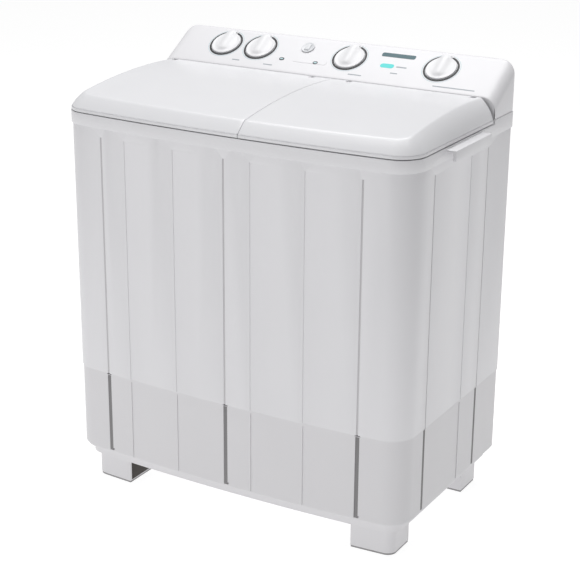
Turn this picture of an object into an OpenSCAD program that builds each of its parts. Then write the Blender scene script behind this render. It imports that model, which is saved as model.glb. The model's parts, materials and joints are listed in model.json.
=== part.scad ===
// Twin tub washer: wash tub on the left, spin tub on the right, sloped control console at the back.
// Millimetres. +Z up, +X to the right seen from the front, front faces -Y.
// The origin is on the floor, under the middle of the cabinet.

/* [Overall] */
// Width of the cabinet at its top band
body_w = 860; // [760:5:1040]
// Depth of the cabinet, from the front of the bow to the back
body_d = 520; // [480:5:640]
// Height of the lower edge of the top band
band_z = 857; // [760:1:1040]
// How far the front bows forward in the middle
front_bow = 18.5; // [6:0.5:30]
// Radius of the front vertical corners
corner_r = 60; // [40:1:80]
// Radius of the back vertical corners
rear_r = 22; // [12:1:30]

/* [Cabinet and base] */
// Height of the seam between cabinet and base skirt
seam_z = 284.5; // [240:0.5:320]
// Height of the lower edge of the base skirt
skirt_z = 90.5; // [80:0.5:110]
// Step in from the top band to the cabinet
cab_inset = 3; // [1:0.5:6]
// Wall of the cabinet
cab_wall = 3.5; // [2.5:0.1:5]
// Gap between shells that nest
nest_gap = 0.15; // [0.1:0.05:0.5]
// Step in from the top band to the base skirt
skirt_inset = 5; // [3:0.5:8]
// Wall of the base skirt
skirt_wall = 3.5; // [2.5:0.1:5]
// Distance between the lines of the front panels
panel_pitch = 64.2; // [50:0.1:70]
// Depth of the panel relief at its deep edge
relief = 1.6; // [0.6:0.1:2]
// Width of a cabinet groove
groove_w = 4; // [2:0.5:6]
// Width of a base groove
wide_groove_w = 9.5; // [6:0.5:14]
// Depth of the grooves
groove_d = 7; // [3:0.5:9]
// Step in from the top band to the feet
foot_inset = 38; // [28:1:50]
// Width of a foot
foot_w = 99; // [60:1:120]
// Depth of a foot
foot_d = 76; // [50:1:100]
// Thickness of the rubber pad under a foot
pad_t = 4; // [2:0.5:8]
// Height of the underside of the plinth strip
plinth_z = 62; // [50:1:75]

/* [Top frame and lids] */
// Height of the band's face
band_h = 27; // [22:1:34]
// Thickness of the deck, the tub flange and similar plates
plate_t = 4; // [3:0.5:5]
// Gap between the deck and the lid's rim
lid_gap = 1.5; // [1:0.1:3]
// Height of the lid's crown above its rim
lid_rise = 56; // [46:1:70]
// Wall of the lids
lid_wall = 3; // [2:0.1:4]
// Gap between the two lids
lid_split = 2; // [1:0.1:4]
// Radius of the lid's hinge barrel
barrel_r = 11; // [9:0.5:12]
// Radius of a lid hinge pin
pin_r = 3; // [2.5:0.1:4]
// Radial running clearance of pins and shafts
run_clear = 0.06; // [0.02:0.01:0.1]
// Length of a carry handle
handle_l = 176; // [140:1:200]
// How far a carry handle stands out of the side
handle_out = 22; // [18:1:30]
// Thickness of a carry handle's lip
handle_t = 8; // [6:0.5:10]

/* [Console] */
// Depth of the console at its foot
console_d = 115; // [100:1:130]
// Slope of the console's face above the horizontal
slope_deg = 31.7; // [25:0.1:36]
// Height of the console's face at its front edge above the deck
face_rise = 53.9; // [46:0.1:60]
// Wall of the console
console_wall = 3; // [2:0.1:4]
// Radius of the console's rounded back edge
top_r = 8; // [6:0.5:12]
// Radius of the rounded ends of the console
end_r = 30; // [15:1:40]
// Middle radius of the dark dial rings
ring_r = 38.7; // [34:0.1:42]
// Width of the dark dial rings
ring_w = 4.6; // [3:0.1:6]
// Radius of a knob's dish
knob_r = 33; // [28:0.5:34]
// Height of a knob's grip above the face
knob_h = 21; // [16:0.5:28]
// Radius of a knob shaft
knob_shaft_r = 3; // [2.5:0.1:4]

/* [Tubs] */
// Space between the side of the cabinet and the inside of a tub
tub_side_gap = 41; // [36:1:60]
// Space between the front of the cabinet and the inside of the tubs
tub_front_gap = 38; // [34:1:60]
// Space between the inside of the tubs and the lids' hinge line
tub_rear_gap = 19; // [16:1:40]
// Space between the insides of the two tubs
tub_between = 37; // [30:1:60]
// Wall of the tubs
tub_wall = 3; // [2.5:0.1:4]
// Radius of the wash tub's corners
wash_corner_r = 80; // [50:1:100]
// Height of the drive space between the base floor and the wash tub
drive_space = 374; // [350:1:400]
// How much lower the spin tub's floor is than the wash tub's
spin_drop = 30; // [10:1:40]
// Gap between the pulsator and the wall of the wash tub
pulsator_gap = 24; // [15:1:40]
// Gap between the basket and the wall of the spin tub
basket_gap = 40; // [30:1:60]
// Wall of the basket
basket_wall = 2; // [1.5:0.1:3]

/* [Drive] */
// Radius of the driven pulley under the wash tub
driven_pulley_r = 110; // [90:1:120]
// Radius of the wash motor's pulley
motor_pulley_r = 25; // [18:1:30]
// Distance between the two pulley axes
belt_centres = 188; // [180:1:200]
// Radius of both motors
motor_r = 62; // [50:1:66]
// Height of both motors
motor_h = 92; // [80:1:96]
// Radius of the motor and gearbox shafts
shaft_r = 7; // [5:0.5:9]
// Height of the suspension springs
spring_h = 46; // [36:1:54]
// Radius of the brake drum
brake_r = 56; // [45:1:62]

/* [Hidden] */
$fn = 64;
eps = 1;
half_w = body_w / 2;
half_d = body_d / 2;
bow_r = (half_w * half_w + front_bow * front_bow) / (2 * front_bow);
bow_cy = bow_r - half_d;
corner_x = half_w - corner_r;
corner_y = bow_cy - sqrt(pow(bow_r - corner_r, 2) - pow(corner_x, 2));

tray_z = skirt_z - 6.5;
floor_z = tray_z + plate_t;
deck_z1 = band_z + band_h;
deck_z0 = deck_z1 - plate_t;
flange_z0 = deck_z0 - plate_t;
lid_z0 = deck_z1 + lid_gap;
lid_top = lid_z0 + lid_rise;

console_y = half_d - console_d;
shelf_z = deck_z1 + 8;
face_z = deck_z1 + face_rise;
console_back = half_d - 1;
console_side = 1.5;
top_y = console_back - top_r;
top_z = face_z + (top_y - console_y) * tan(slope_deg) - top_r / cos(slope_deg);
dial_y = console_y + 60;
dial_z = face_z + 60 * tan(slope_deg);

lid_rim_inset = 1;
hinge_y = console_y - barrel_r - 3;
arch_r = 1540;
arch_y = hinge_y - 91;
hinge_z = lid_top + sqrt(arch_r * arch_r - 91 * 91) - arch_r - barrel_r - 0.4;
roll_r = 46;
roll_y = 2 + roll_r - half_d;
roll_z = lid_top - arch_r + sqrt(pow(arch_r - roll_r, 2) - pow(roll_y - arch_y, 2));
shoulder_r = 32;
lid_rear_step = 3;
lid_rear_wall = 11;
ear_w = 10;
ear_gap = 1;
ear_inset = 46;

tub_y0 = -half_d + tub_front_gap;
tub_y1 = hinge_y - tub_rear_gap;
tub_cy = (tub_y0 + tub_y1) / 2;
spin_r = (tub_y1 - tub_y0) / 2;
spin_x = half_w - tub_side_gap - spin_r;
split_x = spin_x - spin_r - tub_between / 2;
wash_x0 = -half_w + tub_side_gap;
wash_x1 = spin_x - spin_r - tub_between;
wash_cx = (wash_x0 + wash_x1) / 2;
wash_floor = floor_z + drive_space;
spin_floor = wash_floor - spin_drop;

pulsator_r = min(wash_x1 - wash_x0, tub_y1 - tub_y0) / 2 - pulsator_gap;
basket_r = spin_r - basket_gap;
basket_z0 = spin_floor + 22;
basket_z1 = deck_z0 - 78;
basket_neck_r = basket_r - 22;

bracket_z = wash_floor - tub_wall - 108;
pulley_z = bracket_z - 26;
pulley_h = 16;
groove_depth = 5;
gearbox_r = 52;
motor_y = tub_cy + belt_centres;
seal_h = 34;
plate_z = floor_z + spring_h;
spin_motor_z = plate_z + plate_t;
brake_z = spin_motor_z + motor_h + 24;
brake_h = 32;
lever_y = tub_cy + brake_r + 16;
spring_ring = 78;
spring_wire = 2;
spring_turns = 5;

crank_l = 17;
drain_x = 43.5;
strap_x = drain_x;
strap_y = dial_y - 5;
valve_z0 = wash_floor - 92;
valve_h = 56;
valve_r = 26;
plug_r = 17;
outlet_z = skirt_z + 50;

dial_x = [-287, -192, drain_x, 271.5];
selector_x = -72;
selector_y = dial_y + 14;

// ---------- shared shapes ----------

// Depth of the bowed front at a place x, for an outline stepped in by t
function front_y(x, t) = bow_cy - sqrt(pow(bow_r - t, 2) - x * x);

// Plan of the body, stepped in by t: bowed front, round corners, every arc keeps its centre
module outline(t) {
  hx = half_w - t;
  end_x = corner_x * (bow_r - t) / (bow_r - corner_r);
  back_r = rear_r - min(t, rear_r - 2);
  back_y = half_d - t - back_r;
  intersection() {
    translate([0, bow_cy]) circle(r = bow_r - t, $fn = 720);
    translate([-end_x, -half_d]) square([2 * end_x, corner_y + half_d + eps]);
  }
  for (s = [-1, 1]) translate([s * corner_x, corner_y]) circle(r = corner_r - t);
  translate([-hx, corner_y]) square([2 * hx, back_y - corner_y]);
  translate([back_r - hx, back_y - eps]) square([2 * (hx - back_r), back_r + eps]);
  for (s = [-1, 1]) translate([s * (hx - back_r), back_y]) circle(r = back_r);
}

module prism(t, z0, z1) {
  translate([0, 0, z0]) linear_extrude(height = z1 - z0) outline(t);
}

module ring_wall(t, wall, z0, z1) {
  difference() {
    prism(t, z0, z1);
    prism(t + wall, z0 - eps, z1 + eps);
  }
}

module tube(r, bore, h) {
  difference() {
    cylinder(r = r, h = h);
    translate([0, 0, -eps]) cylinder(r = bore, h = h + 2 * eps);
  }
}

module rod_x(r, x0, x1) {
  translate([x0, 0, 0]) rotate([0, 90, 0]) cylinder(r = r, h = x1 - x0);
}

module rod_y(r, y0, y1) {
  translate([0, y0, 0]) rotate([-90, 0, 0]) cylinder(r = r, h = y1 - y0);
}

// A flat slab with round corners, standing on z = 0
module slab(w, d, r, h) {
  linear_extrude(height = h) {
    square([w - 2 * r, d], center = true);
    square([w, d - 2 * r], center = true);
    for (sx = [-1, 1], sy = [-1, 1]) translate([sx * (w / 2 - r), sy * (d / 2 - r)]) circle(r = r);
  }
}

// Puts a child on the console's face: local z stands out of the face, local y runs up it
module on_face(x, y = dial_y) {
  translate([x, y, face_z + (y - console_y) * tan(slope_deg)]) rotate([slope_deg, 0, 0]) children();
}

// ---------- cabinet and base ----------

front_slots = [-5, 0, 5];
side_slots = [-140, 123];
front_panels = [-4, -2, 1, 3];
panel_top = band_z - 19;
slot_top = band_z - 20;
side_panel_y = 39;
step_w = 3.5;
step_h = 8;

// Stiffening ribs behind the grooves, or the grooves themselves when w and d are the grooves'
module channels(inset, w, d, z0, z1) {
  for (i = front_slots)
    translate([i * panel_pitch - w / 2, front_y(i * panel_pitch, inset) - eps, z0])
      cube([w, d + eps, z1 - z0]);
  for (s = [-1, 1], y = side_slots)
    translate([s > 0 ? half_w - inset - d : inset - half_w - eps, y - w / 2, z0])
      cube([d + eps, w, z1 - z0]);
}

// Small steps beside the foot of each base groove
module groove_steps() {
  for (i = front_slots)
    translate([i * panel_pitch, front_y(i * panel_pitch, skirt_inset) - 2, skirt_z - eps])
      cube([wide_groove_w / 2 + step_w, groove_d, step_h]);
}

// Shallow wedges that make each front panel dip along its left edge, each side panel along its rear edge
module panel_wedges(inset, z0, z1) {
  for (i = front_panels) {
    x0 = i * panel_pitch;
    x1 = x0 + panel_pitch;
    translate([0, 0, z0]) linear_extrude(height = z1 - z0)
      polygon([
        [x0, front_y(x0, inset) - 4], [x1, front_y(x1, inset) - 4],
        [x1, front_y(x1, inset)], [x0, front_y(x0, inset) + relief]
      ]);
  }
  for (s = [-1, 1])
    translate([0, 0, z0]) linear_extrude(height = z1 - z0)
      polygon([
        [s * (half_w - inset + 4), side_panel_y],
        [s * (half_w - inset - relief), side_panel_y],
        [s * (half_w - inset), side_panel_y - panel_pitch],
        [s * (half_w - inset + 4), side_panel_y - panel_pitch]
      ]);
}

cover_w = 600;
cover_x = -30;
cover_z0 = seam_z + 40;
cover_z1 = band_z - 60;
cover_lap = 12;

module cabinet() {
  color("white") difference() {
    union() {
      ring_wall(cab_inset, cab_wall, seam_z, flange_z0);
      intersection() {
        prism(cab_inset, seam_z, slot_top + groove_w);
        channels(cab_inset, groove_w + 8, groove_d + 3, seam_z, slot_top + groove_w);
      }
    }
    channels(cab_inset, groove_w, groove_d, seam_z - eps, slot_top);
    panel_wedges(cab_inset, seam_z - eps, panel_top);
    translate([cover_x - cover_w / 2 + cover_lap, half_d - 30, cover_z0 + cover_lap])
      cube([cover_w - 2 * cover_lap, 60, cover_z1 - cover_z0 - 2 * cover_lap]);
    cover_holes(cab_inset + cab_wall + eps, cover_screw_r);
  }
}

module base_skirt() {
  color("gainsboro") difference() {
    union() {
      ring_wall(skirt_inset, skirt_wall, skirt_z, seam_z);
      ring_wall(cab_inset + cab_wall + nest_gap, 2.5, seam_z - 12, seam_z + 10);
      intersection() {
        prism(skirt_inset, skirt_z, seam_z);
        channels(skirt_inset, wide_groove_w + 8, groove_d + 3, skirt_z + 24, seam_z - 4);
      }
    }
    channels(skirt_inset, wide_groove_w, groove_d, skirt_z - eps, seam_z - 4);
    groove_steps();
    channels(cab_inset + cab_wall - eps, groove_w + 9, groove_d, seam_z - 3, seam_z + 11);
    panel_wedges(skirt_inset, skirt_z - eps, seam_z - 6);
    translate([strap_x, 0, outlet_z]) rod_y(outlet_r + 4, half_d - 40, half_d + eps);
    translate([gland_x, 0, gland_z]) rod_y(gland_r, half_d - 40, half_d + eps);
  }
}

outlet_r = 15;
gland_x = -330;
gland_z = skirt_z + 60;
gland_r = 9;

// Footprint of the four feet, stepped in by t from their edges
module feet_plan(t) {
  intersection() {
    outline(foot_inset + t);
    for (sx = [-1, 1], sy = [-1, 1])
      translate([
        sx * (half_w - foot_inset - foot_w / 2 + 5),
        sy > 0 ? half_d - foot_inset - foot_d / 2 : foot_d / 2 + foot_inset - half_d + front_bow / 2
      ]) square([foot_w + 10 - 2 * t, foot_d + (sy > 0 ? 0 : front_bow) - 2 * t], center = true);
  }
}

module base_tray() {
  color("whitesmoke") difference() {
    union() {
      prism(skirt_inset + skirt_wall + nest_gap, tray_z, floor_z);
      ring_wall(skirt_inset + skirt_wall + nest_gap, 3, tray_z, floor_z + 20);
      ring_wall(24, 3.5, plinth_z, tray_z + eps);
      translate([0, 0, pad_t]) linear_extrude(height = tray_z - pad_t + eps) feet_plan(0);
      for (a = spring_angles) translate([spin_x, tub_cy, floor_z - eps]) rotate(a)
        translate([spring_ring, 0, 0]) tube(spring_r + 5, spring_r + 2, 8);
    }
    translate([0, 0, pad_t - eps]) linear_extrude(height = tray_z - pad_t - 3) feet_plan(4);
    translate([0, 0, tray_z - eps]) drip_slot();
  }
}

// Drip slot in the base floor under the belt
module drip_slot() {
  translate([wash_cx, tub_cy, 0]) slab(160, 60, 20, plate_t + 2 * eps);
}

module foot_pads() {
  color("dimgray") linear_extrude(height = pad_t) feet_plan(1);
}

// ---------- back cover ----------

cover_screw_r = 2;
cover_screws = [for (sx = [-1, 1], k = [0, 0.5, 1])
  [cover_x + sx * (cover_w / 2 - 5.5), cover_z0 + 6 + k * (cover_z1 - cover_z0 - 12)]];

module cover_holes(from_back, r) {
  for (p = cover_screws) translate([p[0], 0, p[1]]) rod_y(r, half_d - from_back, half_d + eps);
}

module rear_cover() {
  y0 = half_d - cab_inset;
  color("lightgray") difference() {
    union() {
      translate([cover_x - cover_w / 2, y0, cover_z0]) cube([cover_w, 1.5, cover_z1 - cover_z0]);
      translate([cover_x - cover_w / 2 + cover_lap + 1, y0 - 4, cover_z0 + cover_lap + 1])
        cube([cover_w - 2 * cover_lap - 2, 4, 3]);
    }
    cover_holes(cab_inset + eps, cover_screw_r);
    for (k = [0:7]) translate([cover_x - 150, y0 - eps, cover_z0 + 60 + 16 * k]) cube([120, 4, 6]);
  }
}

module rear_cover_screws() {
  color("silver") for (p = cover_screws) translate([p[0], half_d - cab_inset - cab_wall - 6, p[1]]) {
    rod_y(cover_screw_r, 0, cab_wall + 6 + 1.5);
    translate([0, cab_wall + 7.5, 0]) rod_y(cover_screw_r + 2, 0, 1.2);
  }
}

// ---------- top frame ----------

handle_y = -10;
handle_h = 22;
handle_z1 = deck_z1 - 4;

module handle(side) {
  translate([side > 0 ? half_w - 2 : -half_w - handle_out, handle_y - handle_l / 2, handle_z1 - 5])
    cube([handle_out + 2, handle_l, 5]);
  translate([side > 0 ? half_w + handle_out - handle_t : -half_w - handle_out, handle_y - handle_l / 2,
    handle_z1 - handle_h]) cube([handle_t, handle_l, handle_h]);
}

module wash_plan(t) {
  w = wash_x1 - wash_x0 - 2 * t;
  d = tub_y1 - tub_y0 - 2 * t;
  r = wash_corner_r - t;
  translate([wash_cx, tub_cy]) {
    square([w - 2 * r, d], center = true);
    square([w, d - 2 * r], center = true);
    for (sx = [-1, 1], sy = [-1, 1]) translate([sx * (w / 2 - r), sy * (d / 2 - r)]) circle(r = r);
  }
}

spin_mouth_r = spin_r - 24;
passage = [2 * half_w - 160, 62];
passage_y = console_y + 24 + passage[1] / 2;

module rear_passage(z0, z1) {
  translate([0, passage_y, z0]) slab(passage[0], passage[1], 10, z1 - z0);
}

module top_frame() {
  color("white") difference() {
    union() {
      prism(0, deck_z0, deck_z1);
      ring_wall(0, cab_inset - nest_gap, band_z, deck_z0);
      intersection() {
        prism(0, deck_z0, shelf_z);
        translate([-half_w, console_y, deck_z0]) cube([body_w, console_d, shelf_z - deck_z0]);
      }
      for (s = [-1, 1]) handle(s);
      translate([0, 0, deck_z0]) linear_extrude(height = plate_t + 1) difference() {
        wash_plan(-6);
        wash_plan(0);
      }
    }
    translate([0, 0, deck_z0 - eps]) linear_extrude(height = plate_t + 3 * eps) wash_plan(0);
    translate([spin_x, tub_cy, deck_z0 - eps]) cylinder(r = spin_mouth_r, h = plate_t + 2 * eps);
    rear_passage(deck_z0 - eps, shelf_z + eps);
  }
}

// ---------- lids ----------

// Place where the lid's front roll, stepped in by t, meets its arched top
function roll_end(t) = arch_y + (roll_y - arch_y) * (arch_r - t) / (arch_r - roll_r);

// Section across a lid, stepped in by t: distance from the arch's axis against x, one shoulder round
module lid_section(x0, x1, t, left) {
  reach = half_w - lid_rim_inset - shoulder_r;
  foot_r = arch_r - 2 * lid_rise;
  side = left ? -1 : 1;
  from = left ? -reach : x0 - shoulder_r;
  to = left ? x1 + shoulder_r : reach;
  translate([foot_r, from]) square([arch_r - t - foot_r, to - from]);
  translate([arch_r - shoulder_r, side * reach]) circle(r = shoulder_r - t);
  translate([foot_r, side * (reach - t / 2) - shoulder_r + t / 2])
    square([arch_r - shoulder_r - foot_r, 2 * shoulder_r - t]);
}

// Solid of a lid between x0 and x1, stepped in by t; left says which end has the round shoulder
module lid_form(x0, x1, t, left) {
  low = lid_z0 - (t > 0 ? eps : 0);
  half_swing = 14;
  rear_y = hinge_y - (t > 0 ? lid_rear_wall : lid_rear_step);
  intersection() {
    prism(lid_rim_inset + t, low, lid_top + eps);
    translate([x0 + t, -half_d, low]) cube([x1 - x0 - 2 * t, rear_y + half_d, lid_rise + 2 * eps]);
    translate([0, arch_y, lid_top - arch_r]) rotate([0, 90, 0]) rotate([0, 0, 180 - half_swing])
      rotate_extrude(angle = 2 * half_swing, $fn = 2880) lid_section(x0, x1, t, left);
    translate([x0 - eps, 0, 0]) rotate([90, 0, 90]) linear_extrude(height = x1 - x0 + 2 * eps) {
      translate([roll_end(t), low]) square([body_d, lid_rise + 2 * eps]);
      translate([roll_y, roll_z]) circle(r = roll_r - t);
    }
  }
}

function ears(x0, x1) = [x0 + ear_inset, x1 - ear_inset];

module at_hinge() {
  translate([0, hinge_y, hinge_z]) children();
}

module lid(x0, x1, left) {
  difference() {
    union() {
      difference() {
        lid_form(x0, x1, 0, left);
        lid_form(x0, x1, lid_wall, left);
      }
      at_hinge() rod_x(barrel_r, x0 + (left ? shoulder_r : eps), x1 - (left ? eps : shoulder_r));
    }
    for (x = ears(x0, x1)) {
      translate([x - ear_w / 2 - ear_gap, hinge_y - barrel_r - 6, hinge_z - barrel_r - 3])
        cube([ear_w + 2 * ear_gap, 2 * barrel_r + 20, 2 * barrel_r + 6]);
      at_hinge() rod_x(pin_r + run_clear, x - 22, x + 22);
    }
  }
}

wash_lid_x = [lid_rim_inset - half_w, split_x - lid_split / 2];
spin_lid_x = [split_x + lid_split / 2, half_w - lid_rim_inset];

module wash_lid() {
  color("snow") lid(wash_lid_x[0], wash_lid_x[1], true);
}

module spin_lid() {
  color("snow") lid(spin_lid_x[0], spin_lid_x[1], false);
}

module lid_hinge_pins() {
  color("silver") for (x = concat(ears(wash_lid_x[0], wash_lid_x[1]), ears(spin_lid_x[0], spin_lid_x[1])))
    at_hinge() rod_x(pin_r, x - 20, x + 20);
}

// ---------- console ----------

// Side section of the console, stepped in by t
module console_section(t) {
  drop = t / cos(slope_deg);
  polygon([
    [console_y + t, shelf_z - (t > 0 ? eps : 0)],
    [console_y + t, face_z + t * tan(slope_deg) - drop],
    [top_y - (top_r - t) * sin(slope_deg), top_z + (top_r - t) * cos(slope_deg)],
    [top_y, top_z], [console_back - t, top_z], [console_back - t, shelf_z - (t > 0 ? eps : 0)]
  ]);
  translate([top_y, top_z]) circle(r = top_r - t);
}

module console_form(t) {
  reach = half_w - console_side - end_r;
  intersection() {
    prism(console_side + t, shelf_z - eps, top_z + top_r + eps);
    translate([-half_w, 0, 0]) rotate([90, 0, 90]) linear_extrude(height = body_w) console_section(t);
    translate([0, half_d, 0]) rotate([90, 0, 0]) linear_extrude(height = console_d + eps) {
      translate([-reach, shelf_z - eps]) square([2 * reach, top_z + top_r - shelf_z + eps - t]);
      for (s = [-1, 1]) translate([s * reach, top_z + top_r - end_r]) circle(r = end_r - t);
      translate([-reach - end_r + t, shelf_z - eps])
        square([2 * (reach + end_r - t), top_z + top_r - end_r - shelf_z + eps]);
    }
  }
}

module ear() {
  difference() {
    union() {
      rod_x(barrel_r - 2, -ear_w / 2, ear_w / 2);
      translate([-ear_w / 2, 0, 1 - barrel_r]) cube([ear_w, console_y - hinge_y + eps, barrel_r + 4]);
    }
    rod_x(pin_r, -ear_w, ear_w);
  }
}

module console_ears() {
  for (x = concat(ears(wash_lid_x[0], wash_lid_x[1]), ears(spin_lid_x[0], spin_lid_x[1])))
    at_hinge() translate([x, 0, 0]) ear();
}

fitting_x = -120;
fitting_z = shelf_z + 36;
fitting_r = 13.1;
fitting_pocket_r = 32;
fitting_pocket_d = 30;
track_l = 34;

module control_console() {
  color("white") difference() {
    union() {
      difference() {
        console_form(0);
        console_form(console_wall);
      }
      console_ears();
      translate([fitting_x, 0, fitting_z])
        rod_y(fitting_pocket_r + 3, console_back - fitting_pocket_d - 3, console_back - 2);
    }
    translate([fitting_x, 0, fitting_z]) {
      rod_y(fitting_pocket_r, console_back - fitting_pocket_d, console_back + eps);
      rod_y(fitting_r - 3, console_back - fitting_pocket_d - 10, console_back);
    }
    for (x = dial_x) on_face(x) {
      translate([0, 0, -1.2]) tube(ring_r + ring_w / 2, ring_r - ring_w / 2, 4);
      translate([0, 0, -console_wall - eps]) cylinder(r = knob_shaft_r + 2, h = console_wall + 2 * eps);
    }
    on_face(selector_x, selector_y) translate([0, 0, -console_wall - eps]) slab(track_l + 8, 8, 3.8, 10);
  }
}

// C-shaped rings set in the console, open at the top of each dial
module dial_rings() {
  color("#2b2f33") for (x = dial_x) on_face(x) translate([0, 0, -1.2]) difference() {
    tube(ring_r + ring_w / 2 - nest_gap, ring_r - ring_w / 2 + nest_gap, 1.4);
    translate([-13, 0, -eps]) cube([26, 60, 4]);
  }
}

knob_lift = 1;
shaft_tip = 7.5;

module knob(x) {
  on_face(x) difference() {
    union() {
      translate([0, 0, knob_lift]) cylinder(r = knob_r, h = 4);
      translate([0, 0, knob_lift + 4]) cylinder(r1 = knob_r - 1, r2 = knob_r - 8, h = 4);
      intersection() {
        translate([-10, -knob_r + 2, knob_lift])
          cube([20, knob_r - 2 + ring_r + ring_w / 2 + 1, knob_h - knob_lift]);
        translate([0, 0, knob_lift]) cylinder(r = ring_r + ring_w / 2, h = knob_h);
      }
    }
    translate([0, 0, -eps]) cylinder(r = knob_shaft_r, h = shaft_tip + 2);
  }
}

module wash_timer_knob() {
  color("white") knob(dial_x[0]);
}

module wash_mode_knob() {
  color("white") knob(dial_x[1]);
}

module drain_knob() {
  color("white") knob(dial_x[2]);
}

module spin_timer_knob() {
  color("white") knob(dial_x[3]);
}

shaft_depth = 34;

module knob_shaft(x, depth = shaft_depth) {
  on_face(x) translate([0, 0, -depth]) cylinder(r = knob_shaft_r, h = depth + shaft_tip);
}

module wash_timer_shaft() {
  color("silver") knob_shaft(dial_x[0]);
}

module wash_mode_shaft() {
  color("silver") knob_shaft(dial_x[1]);
}

module spin_timer_shaft() {
  color("silver") knob_shaft(dial_x[3]);
}

module drain_crank_shaft() {
  color("silver") union() {
    knob_shaft(dial_x[2]);
    on_face(dial_x[2]) translate([0, 0, -shaft_depth - 4]) {
      cylinder(r = 8, h = 4);
      translate([-4, 4 - crank_l, 0]) cube([8, crank_l - 4, 4]);
    }
  }
}

// Body behind the panel with a running bore for its shaft
module switch_body(x, w, h) {
  on_face(x) difference() {
    union() {
      translate([0, 0, -console_wall - h]) slab(w, w, 4, h - 3);
      translate([0, 0, -console_wall - 3]) slab(w + 16, w - 14, 4, 3);
    }
    translate([0, 0, -console_wall - h - eps]) cylinder(r = knob_shaft_r + run_clear, h = h + 2 * eps);
  }
}

module wash_timer() {
  color("ivory") switch_body(dial_x[0], 50, 32);
}

module wash_mode_switch() {
  color("ivory") switch_body(dial_x[1], 36, 22);
}

module spin_timer() {
  color("ivory") switch_body(dial_x[3], 50, 32);
}

module drain_shaft_bush() {
  color("ivory") switch_body(dial_x[2], 30, 24);
}

module inlet_selector() {
  color("gainsboro") on_face(selector_x, selector_y) {
    translate([0, 0, 0.4]) cylinder(r = 16, h = 3);
    translate([0, 0, 0.4]) slab(8, 20, 3.5, 9);
    translate([0, 0, -16]) slab(10, 6.6, 3, 17);
    translate([0, 0, -19]) slab(24, 14, 3, 3);
  }
}

// Box under the console that leads the water to either tub
module inlet_chute() {
  color("whitesmoke") difference() {
    union() {
      translate([selector_x, chute_y, shelf_z]) slab(150, 62, 6, 22);
      translate([fitting_x, 0, fitting_z]) rod_y(fitting_r + 3, chute_y, chute_back);
      translate([fitting_x - 18, chute_y, shelf_z + 18]) cube([36, 26, fitting_z - shelf_z - 18]);
    }
    translate([selector_x, chute_y, shelf_z + 3]) slab(144, 56, 4, 30);
    translate([fitting_x, 0, fitting_z]) rod_y(fitting_r - 3, chute_y + 6, chute_back + eps);
    translate([fitting_x - 14, chute_y + 6, shelf_z + 2]) cube([28, 16, fitting_z - shelf_z]);
    for (s = [-1, 1]) translate([selector_x + s * 45, chute_y, shelf_z - eps]) cylinder(r = 12, h = 5);
  }
}

chute_y = console_y + 45;
chute_back = console_back - fitting_pocket_d - 3;

module inlet_fitting() {
  color("white") translate([fitting_x, 0, fitting_z]) difference() {
    union() {
      rod_y(fitting_r, console_back - fitting_pocket_d, console_back - 8);
      rod_y(fitting_r + 7, console_back - fitting_pocket_d, console_back - fitting_pocket_d + 3);
      rod_y(fitting_r - 3, chute_back, console_back - fitting_pocket_d + eps);
    }
    rod_y(fitting_r - 5, chute_back - eps, console_back);
  }
}

// ---------- tubs ----------

module tub_moulding() {
  color("lightcyan") difference() {
    union() {
      prism(cab_inset + 0.5, flange_z0, deck_z0);
      translate([0, 0, wash_floor - tub_wall])
        linear_extrude(height = flange_z0 - wash_floor + tub_wall + eps) wash_plan(-tub_wall);
      translate([spin_x, tub_cy, spin_floor - tub_wall])
        cylinder(r = spin_r + tub_wall, h = flange_z0 - spin_floor + tub_wall + eps);
      translate([wash_cx, tub_cy, wash_floor - tub_wall - 4]) cylinder(r = 60, h = 5);
      translate([valve_in_x, valve_in_y - 14, wash_floor - tub_wall - 24]) cylinder(r = 17, h = 25);
    }
    translate([0, 0, wash_floor]) linear_extrude(height = 600) wash_plan(0);
    translate([spin_x, tub_cy, spin_floor]) cylinder(r = spin_r, h = 600);
    translate([wash_cx, tub_cy, wash_floor - 20]) cylinder(r = gear_boss_r, h = 40);
    translate([spin_x, tub_cy, spin_floor - 20]) cylinder(r = seal_r, h = 40);
    translate([valve_in_x, valve_in_y - 14, wash_floor - 60]) cylinder(r = 13 + nest_gap, h = 80);
    rear_passage(flange_z0 - eps, deck_z0 + eps);
  }
}

gear_boss_r = 22;
seal_r = 34;
valve_in_x = wash_x1 - 60;
valve_in_y = tub_y1 - 26;

module lint_filter() {
  z0 = wash_floor + 150;
  color("honeydew") translate([wash_cx, tub_y1, z0]) difference() {
    translate([-55, -34, 0]) cube([110, 34, 190]);
    translate([-49, -28, 6]) cube([98, 24, 178]);
    for (i = [0:4], k = [0:5]) translate([-46 + 19 * i, -40, 14 + 29 * k]) cube([16, 14, 24]);
  }
}

module overflow_grille() {
  z0 = wash_floor + 3;
  color("honeydew") translate([wash_x1 - 26, tub_y1 - wash_corner_r - 60, z0]) difference() {
    translate([0, -40, 0]) cube([26, 80, flange_z0 - z0 - 60]);
    translate([4, -36, -eps]) cube([22 - 4, 72, flange_z0 - z0 - 64]);
    for (k = [0:11]) translate([-eps, -28, 20 + k * (flange_z0 - z0 - 120) / 12]) cube([8, 56, 12]);
  }
}

// ---------- wash drive ----------

hub_h = 26;

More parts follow.
